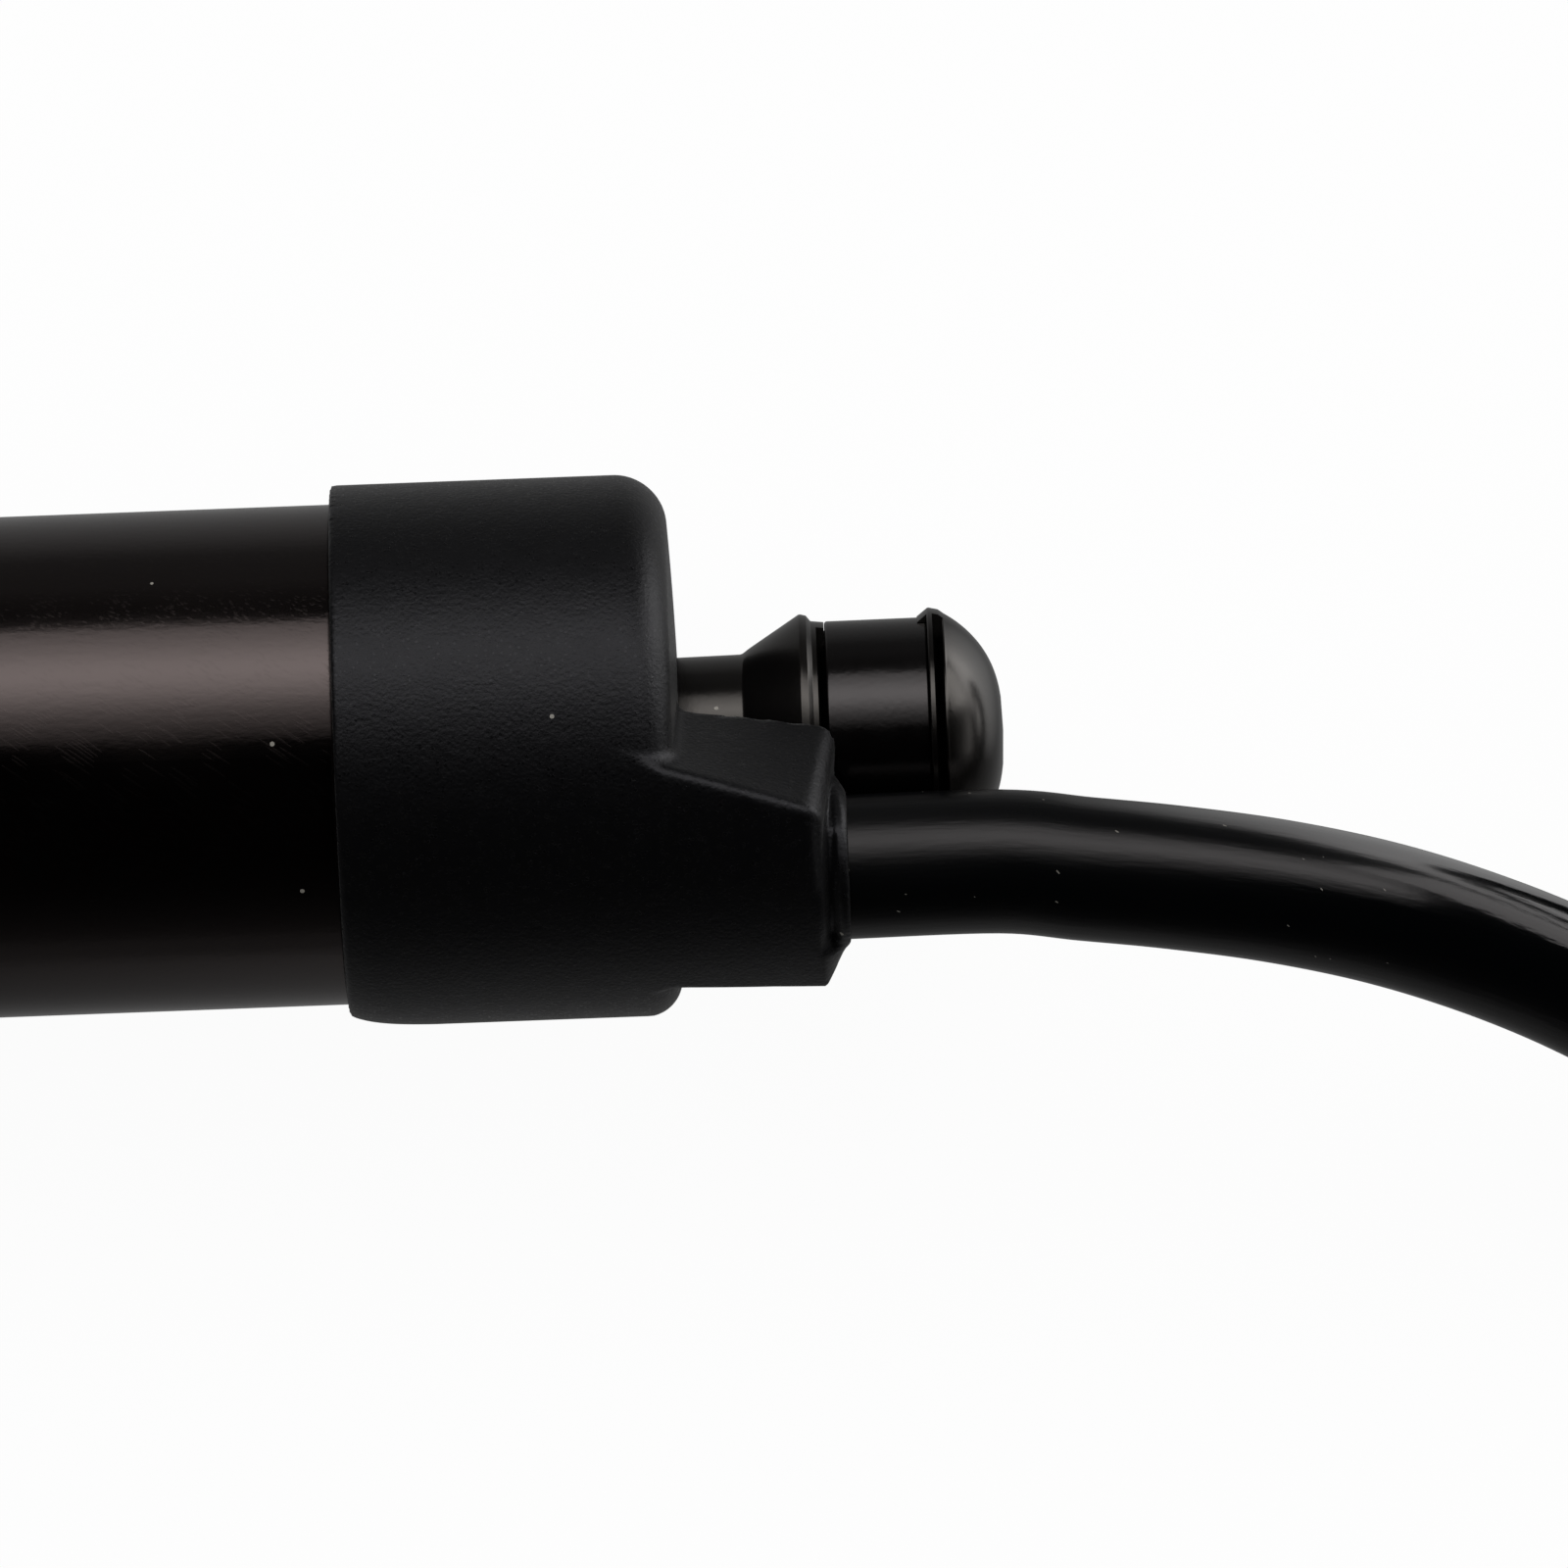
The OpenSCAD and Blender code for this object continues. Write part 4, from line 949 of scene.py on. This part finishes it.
def connector_field(x, y, z):
    """Plug housing: ribbed boot, shroud open at its mating end, guide ribs, grips and latch."""
    a, c = x - connector_x, z - tied_height
    r = np.hypot(y, c)
    boot = np.maximum(np.maximum(r - 5.4 - 0.04 * a, -a), a - 13)
    for start in (2, 5, 8):
        boot = round_join(boot, round_meet(r - 6.2, np.abs(a - start - 0.8) - 0.8, 0.5), 0.3)
    shroud = block(a, y, c, (12, -11, -6.4), (48, 11, 6.4), 2.0)
    body = round_join(boot, shroud, 0.8)
    ribs = block(a, np.abs(y), c, (26, 10.5, -1), (48, 11.8, 1), 0.4)
    body = round_join(body, ribs, 0.4)
    for start in (14.4, 16.8, 19.2):
        grip = block(a, y, np.abs(c), (start, -8, 5.9), (start + 1, 8, 8), 0.3)
        body = round_meet(body, -grip, 0.25)
    body = round_meet(body, -block(a, y, c, (28, -9.5, -4.9), (52, 9.5, 4.9), 0.8), 0.3)
    arm = block(a, y, c, (22, -3.5, 7.3), (46, 3.5, 8.7), 0.35)
    pad = block(a, y, c, (40, -3.5, 5.9), (46, 3.5, 8.7), 0.35)
    tab = block(a, y, c, (22, -4.5, 7.3), (25, 4.5, 9.3), 0.4)
    latch = round_join(round_join(arm, pad, 0.6), tab, 0.4)
    return np.maximum(round_join(body, latch, 0.25), flat_z - c)


def make_connector():
    return moulded("cable_plug", "cable_connector", connector_field, 0.36)


def tie_field(x, y, z):
    """Strap round the three strands, its head on one side with the cut end of the strap in it."""
    a, c = x - hank_x / MM, z - tied_height
    side = strand / MM + 5
    outer = round_meet(np.abs(y) - side - 1.4, np.abs(c) - 6.4, 5.0)
    inner = round_meet(np.abs(y) - side, np.abs(c) - 5, 4.0)
    strap = round_meet(round_meet(outer, -inner, 0.3), np.abs(a) - 2.5, 0.3)
    head = block(a, y, c, (-3.5, side + 1.0, -3), (3.5, side + 5.2, 3), 0.7)
    head = round_meet(head, -block(a, y, c, (-2, side + 4.6, -1.6), (2, side + 6, 1.6), 0.3), 0.2)
    tail = block(a, y, c, (-2.3, side + 2.3, 0), (2.3, side + 3.5, 6.2), 0.25)
    teeth = 0.18 * np.abs(((c / 0.9) % 1) - 0.5)
    tail = np.where(c > 3.2, tail + teeth, tail)
    return np.maximum(round_join(round_join(strap, head, 0.4), tail, 0.2), flat_z - c)


def make_tie():
    return moulded("strap_tie", "hank_tie", tie_field, 0.3)


def make_pins(material):
    """Contact pins inside the plug's shroud."""
    pins = grow("contact_pins", pin_rows_tree(), 30, Side=0.001, Length=0.0118, Columns=4,
                Pitch=0.004, Gap=0.004, Place=((connector_x + 27.2) * MM, 0, tied_z),
                Material=material)
    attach(pins, "housing")
    wear(pins, "bronze")
    return pins


def make_cable():
    path = [np.maximum(p, (-1, hank_y, lying_z)) for p in smooth_path(lead_points, 8)] + hank_path()
    piece, length = sweep("cable", path, cable_d / 2)
    stands_for(piece, "cable_lead", "cable_hank")


# ---- Materials ----

def noise(tree, place, *scale_and_detail):
    return put(tree, "TexNoise", place, *scale_and_detail).outputs


def stretched(tree, place, stretch):
    return put(tree, "VectorMath", place, stretch, operation="MULTIPLY").outputs[0]


def make_surface_group():
    """Tone, roughness and height that wander at two scales, as on every moulded or painted part."""
    tree, given, made = new_tree("Shader", "surface_wander", {
        "Place": "Vector", "Stretch": (1, 1, 1), "Coarse scale": 150.0, "Fine scale": 2500.0,
        "Colour": (0.02, 0.02, 0.02, 1), "Colour change": 0.15, "Roughness": 0.4,
        "Roughness change": 0.1, "Coarse height": 0.3, "Fine height": 0.7},
        {"Colour": "Color", "Roughness": "Float", "Height": "Float"})
    maths = partial(sum_of, tree)
    place = stretched(tree, given["Place"], given["Stretch"])
    coarse = noise(tree, place, given["Coarse scale"], 4)[0]
    fine = noise(tree, place, given["Fine scale"], 2)[0]
    centred = maths("SUBTRACT", coarse, 0.5)
    tone = maths("MULTIPLY_ADD", centred, given["Colour change"], 1.0)
    rough = maths("MULTIPLY_ADD", centred, given["Roughness change"], given["Roughness"])
    height = plus(tree, maths("MULTIPLY", coarse, given["Coarse height"]),
                  maths("MULTIPLY", fine, given["Fine height"]))
    for source, key in ((scaled(tree, given["Colour"], tone), "Colour"), (rough, "Roughness"),
                        (height, "Height")):
        link(tree, source, made[key])
    return tree


def make_marks_group():
    """Specks, or short scratches where the pattern is drawn out, in a share of its cells."""
    tree, given, made = new_tree("Shader", "marks", {
        "Place": "Vector", "Turn": 0.0, "Stretch": (1, 1, 1), "Waver": 0.0, "Scale": 500.0,
        "Speck size": 0.12, "Share": 0.1}, {"Mark": "Float"})
    turned = put(tree, "VectorRotate", given["Place"], None, given["Turn"],
                 rotation_type="Z_AXIS").outputs[0]
    bent = scaled(tree, noise(tree, given["Place"], 350)["Color"], given["Waver"])
    whole = put(tree, "VectorMath", turned, bent, operation="ADD").outputs[0]
    drawn = stretched(tree, whole, given["Stretch"])
    cells = put(tree, "TexVoronoi", drawn, given["Scale"]).outputs
    near = sum_of(tree, "LESS_THAN", cells["Distance"], given["Speck size"])
    pick = put(tree, "SeparateColor", cells["Color"]).outputs[0]
    few = sum_of(tree, "LESS_THAN", pick, given["Share"])
    link(tree, sum_of(tree, "MULTIPLY", near, few), made["Mark"])
    return tree


def make_turned_group():
    """Fine rings left by the lathe on a part that was turned about the strut's axis."""
    tree, given, made = new_tree("Shader", "turned_rings", {
        "Place": "Vector", "Axis height": 0.0, "Scale": 4000.0}, {"Height": "Float"})
    at = put(tree, "SeparateXYZ", given["Place"]).outputs
    flat = put(tree, "CombineXYZ", at["Y"], at["Z"]).outputs[0]
    radius = put(tree, "VectorMath", flat, operation="LENGTH").outputs["Value"]
    line = put(tree, "CombineXYZ", at["X"], radius, given["Axis height"]).outputs[0]
    link(tree, noise(tree, line, given["Scale"], 3)[0], made["Height"])
    return tree


surface_group = make_surface_group()
marks_group = make_marks_group()
turned_group = make_turned_group()
finishes = {}


def run_group(tree, group, place, **values):
    """What a group gives at a place, with its other inputs set by name."""
    made = put(tree, "Group", node_tree=group)
    link(tree, place, made.inputs["Place"])
    for key, value in values.items():
        made.inputs[key.replace("_", " ").capitalize()].default_value = value
    return made.outputs


def make_finish(name, colour, roughness, bump=0.05, distance=0.00005, metallic=0.0, specular=0.5,
                tint=(1, 1, 1), sheen=None, along_cord=False, pale=(), relief_marks=(),
                dull_marks=(), turned=0.0, dull_end=None, **wander):
    """A material whose tone, roughness and fine relief wander. pale marks, each a lightness and
    the marks group's values, take a light colour; relief_marks stand up by a height and dull_marks
    are rougher by a step. turned adds lathe rings, and dull_end, (from, to, roughness), is a worn
    stretch of a cord. sheen is its weight and roughness."""
    material = bpy.data.materials.new(name)
    material.use_nodes = True
    tree = material.node_tree
    maths = partial(sum_of, tree)
    shader = tree.nodes["Principled BSDF"].inputs
    shader["Metallic"].default_value = metallic
    shader["Specular IOR Level"].default_value = specular
    shader["Specular Tint"].default_value = (*tint, 1)
    if sheen:
        shader["Sheen Weight"].default_value, shader["Sheen Roughness"].default_value = sheen
    if along_cord:
        place = put(tree, "UVMap", uv_map="along").outputs[0]
    else:
        place = put(tree, "TexCoord").outputs["Object"]

    def marked(total, marks):
        for step, values in marks:
            mark = run_group(tree, marks_group, place, **values)[0]
            total = plus(tree, total, maths("MULTIPLY", mark, step))
        return total

    surface = run_group(tree, surface_group, place, colour=(*colour, 1), roughness=roughness,
                        **wander)
    tone, rough, height = (surface[key] for key in ("Colour", "Roughness", "Height"))
    for light, values in pale:
        mark = run_group(tree, marks_group, place, **values)[0]
        lift = put(tree, "Mix", mark, tone, (light, light * 0.95, light * 0.84, 1),
                   data_type="RGBA")
        tone = [socket for socket in lift.outputs if socket.enabled][0]
    height, rough = marked(height, relief_marks), marked(rough, dull_marks)
    if turned:
        rings = run_group(tree, turned_group, place)[0]
        height = plus(tree, height, maths("MULTIPLY", rings, turned))
    if dull_end:
        run = put(tree, "SeparateXYZ", place).outputs["X"]
        worn = put(tree, "MapRange", run, *dull_end, 0)
        rough = plus(tree, rough, worn.outputs[0])
    relief = put(tree, "Bump")
    relief.inputs["Strength"].default_value = bump
    relief.inputs["Distance"].default_value = distance
    link(tree, height, relief.inputs["Height"])
    for source, key in ((tone, "Base Color"), (rough, "Roughness"), (relief.outputs[0], "Normal")):
        link(tree, source, shader[key])
    finishes[name] = material


def make_finishes():
    """One material for each slot of the record."""
    specks = (0.2, {"scale": 620, "speck_size": 0.1, "share": 0.012})
    lint = (0.1, {"turn": 0.7, "stretch": (0.1, 1, 1), "waver": 0.002, "scale": 900,
                  "speck_size": 0.07, "share": 0.008})
    chips = (0.5, {"scale": 700, "speck_size": 0.3, "share": 0.3})
    hairlines = {"turn": 0.62, "stretch": (0.05, 1, 1), "waver": 0.0002, "scale": 5200,
                 "speck_size": 0.34, "share": 0.5}
    pits = {"scale": 2300, "speck_size": 0.4, "share": 0.34, "waver": 0.0004}
    grains = {"scale": 3400, "speck_size": 0.4, "share": 0.25}
    nicks = {"turn": 0.5, "stretch": (0.35, 1, 1), "waver": 0.001, "scale": 2600,
             "speck_size": 0.13, "share": 0.04}
    make_finish("black_tube", (0.0004, 0.0003, 0.0003), 0.14, 0.25, specular=0.62,
                tint=(1, 0.82, 0.79), stretch=(0.4, 1, 1), coarse_scale=180, fine_scale=2600,
                roughness_change=0.16, coarse_height=0.15, fine_height=0.5, pale=(specks, lint),
                relief_marks=((0.08, hairlines),), dull_marks=((0.06, hairlines),))
    make_finish("cap_plastic", (0.0008, 0.0008, 0.001), 0.4, 0.8, 0.00012, specular=0.21,
                tint=(0.95, 0.94, 1), sheen=(0.055, 0.4), coarse_scale=700, fine_scale=3500,
                coarse_height=0.3, fine_height=0.4, pale=(specks, lint),
                relief_marks=((-1.4, pits), (0.7, grains)), dull_marks=((-0.12, grains),))
    make_finish("socket_black", (0.0006, 0.0005, 0.0005), 0.22, 0.15, tint=(1, 0.93, 0.87),
                coarse_scale=300, pale=(specks,))
    make_finish("clip_steel", (0.0006, 0.0005, 0.0005), 0.17, 0.25, specular=0.4,
                tint=(1, 0.93, 0.93), coarse_scale=420, roughness_change=0.16, coarse_height=0.7,
                pale=(specks,))
    make_finish("cable_jacket", (0.0006, 0.0008, 0.001), 0.11, 0.35, specular=0.25,
                tint=(1, 0.95, 0.95), along_cord=True, stretch=(0.15, 1, 1), coarse_scale=400,
                fine_scale=3000, roughness_change=0.12, pale=((0.12, nicks),),
                relief_marks=((1.0, nicks),), dull_end=(0.004, 0.05, 0.2))
    make_finish("black_rubber", (0.012, 0.012, 0.012), 0.7, 0.3)
    make_finish("wire_jacket", (0.45, 0.08, 0.05), 0.4, 0.2, colour_change=0.5)
    make_finish("board_green", (0.02, 0.12, 0.05), 0.35, 0.3, colour_change=0.5, pale=(chips,))
    make_finish("chip_black", (0.02, 0.02, 0.02), 0.5, 0.2)
    make_finish("inner_plastic", (0.03, 0.03, 0.032), 0.45, 0.2)
    make_finish("carbon", (0.03, 0.03, 0.03), 0.6, 0.4)
    make_finish("magnet_grey", (0.08, 0.08, 0.085), 0.6, 0.4)
    make_finish("gear_plastic", (0.75, 0.72, 0.64), 0.4, 0.15)
    make_finish("nut_plastic", (0.78, 0.75, 0.68), 0.4, 0.15)
    make_finish("tie_black", (0.012, 0.012, 0.012), 0.4, 0.15)
    make_finish("connector_plastic", (0.016, 0.0165, 0.018), 0.42, 0.3, coarse_scale=900,
                fine_scale=3500)
    metal = partial(make_finish, metallic=1.0)
    metal("plug_metal", (0.42, 0.43, 0.44), 0.38, 0.3, coarse_scale=700, turned=1.2)
    metal("bright_steel", (0.6, 0.61, 0.62), 0.25, 0.3, stretch=(0.03, 1, 1), turned=0.8)
    metal("bronze", (0.5, 0.36, 0.18), 0.4, 0.3)
    metal("can_steel", (0.45, 0.46, 0.47), 0.35, 0.15)
    metal("copper", (0.72, 0.36, 0.2), 0.35, 1.0, 0.0002, stretch=(0.05, 1, 1), coarse_scale=2200,
          fine_scale=5000, colour_change=0.7, coarse_height=1.2)
    metal("core_steel", (0.35, 0.35, 0.36), 0.4, 0.8, 0.0001, stretch=(20, 1, 1), coarse_scale=120,
          colour_change=0.6, coarse_height=1.0)
    metal("gear_steel", (0.4, 0.4, 0.4), 0.45, 0.4, colour_change=0.4, turned=0.6)
    metal("dark_metal", (0.2, 0.2, 0.21), 0.45, 0.3)
    metal("spring_steel", (0.2, 0.2, 0.21), 0.38, 0.3, coarse_scale=500, roughness_change=0.25,
          colour_change=0.4)


def dress_nodes():
    """Gives every node of the record the material of its slot."""
    for node, slot in slot_of.items():
        piece = frame["nodes"][node]
        if not piece.material_slots:
            piece.data.materials.append(None)
        for place in piece.material_slots:
            place.link = "OBJECT"
            place.material = finishes[slot]


make_studio()
make_finishes()
connector, tie, pins = make_connector(), make_tie(), make_pins(finishes["bronze"])
make_cable()
make_end_cap()
make_tube()
make_sliding_tube()
make_wiper_ring()
make_rod_plug()
make_spindle(finishes["bright_steel"])
make_lift_spring(finishes["spring_steel"])
stands_for(make_socket("motor_socket"), "motor_end_socket")
stands_for(make_clip("motor_clip"), "motor_end_clip")
stands_for(at_rod_end(make_socket("rod_socket")), "rod_end_socket")
stands_for(at_rod_end(make_clip("rod_clip")), "rod_end_clip")
dress_nodes()
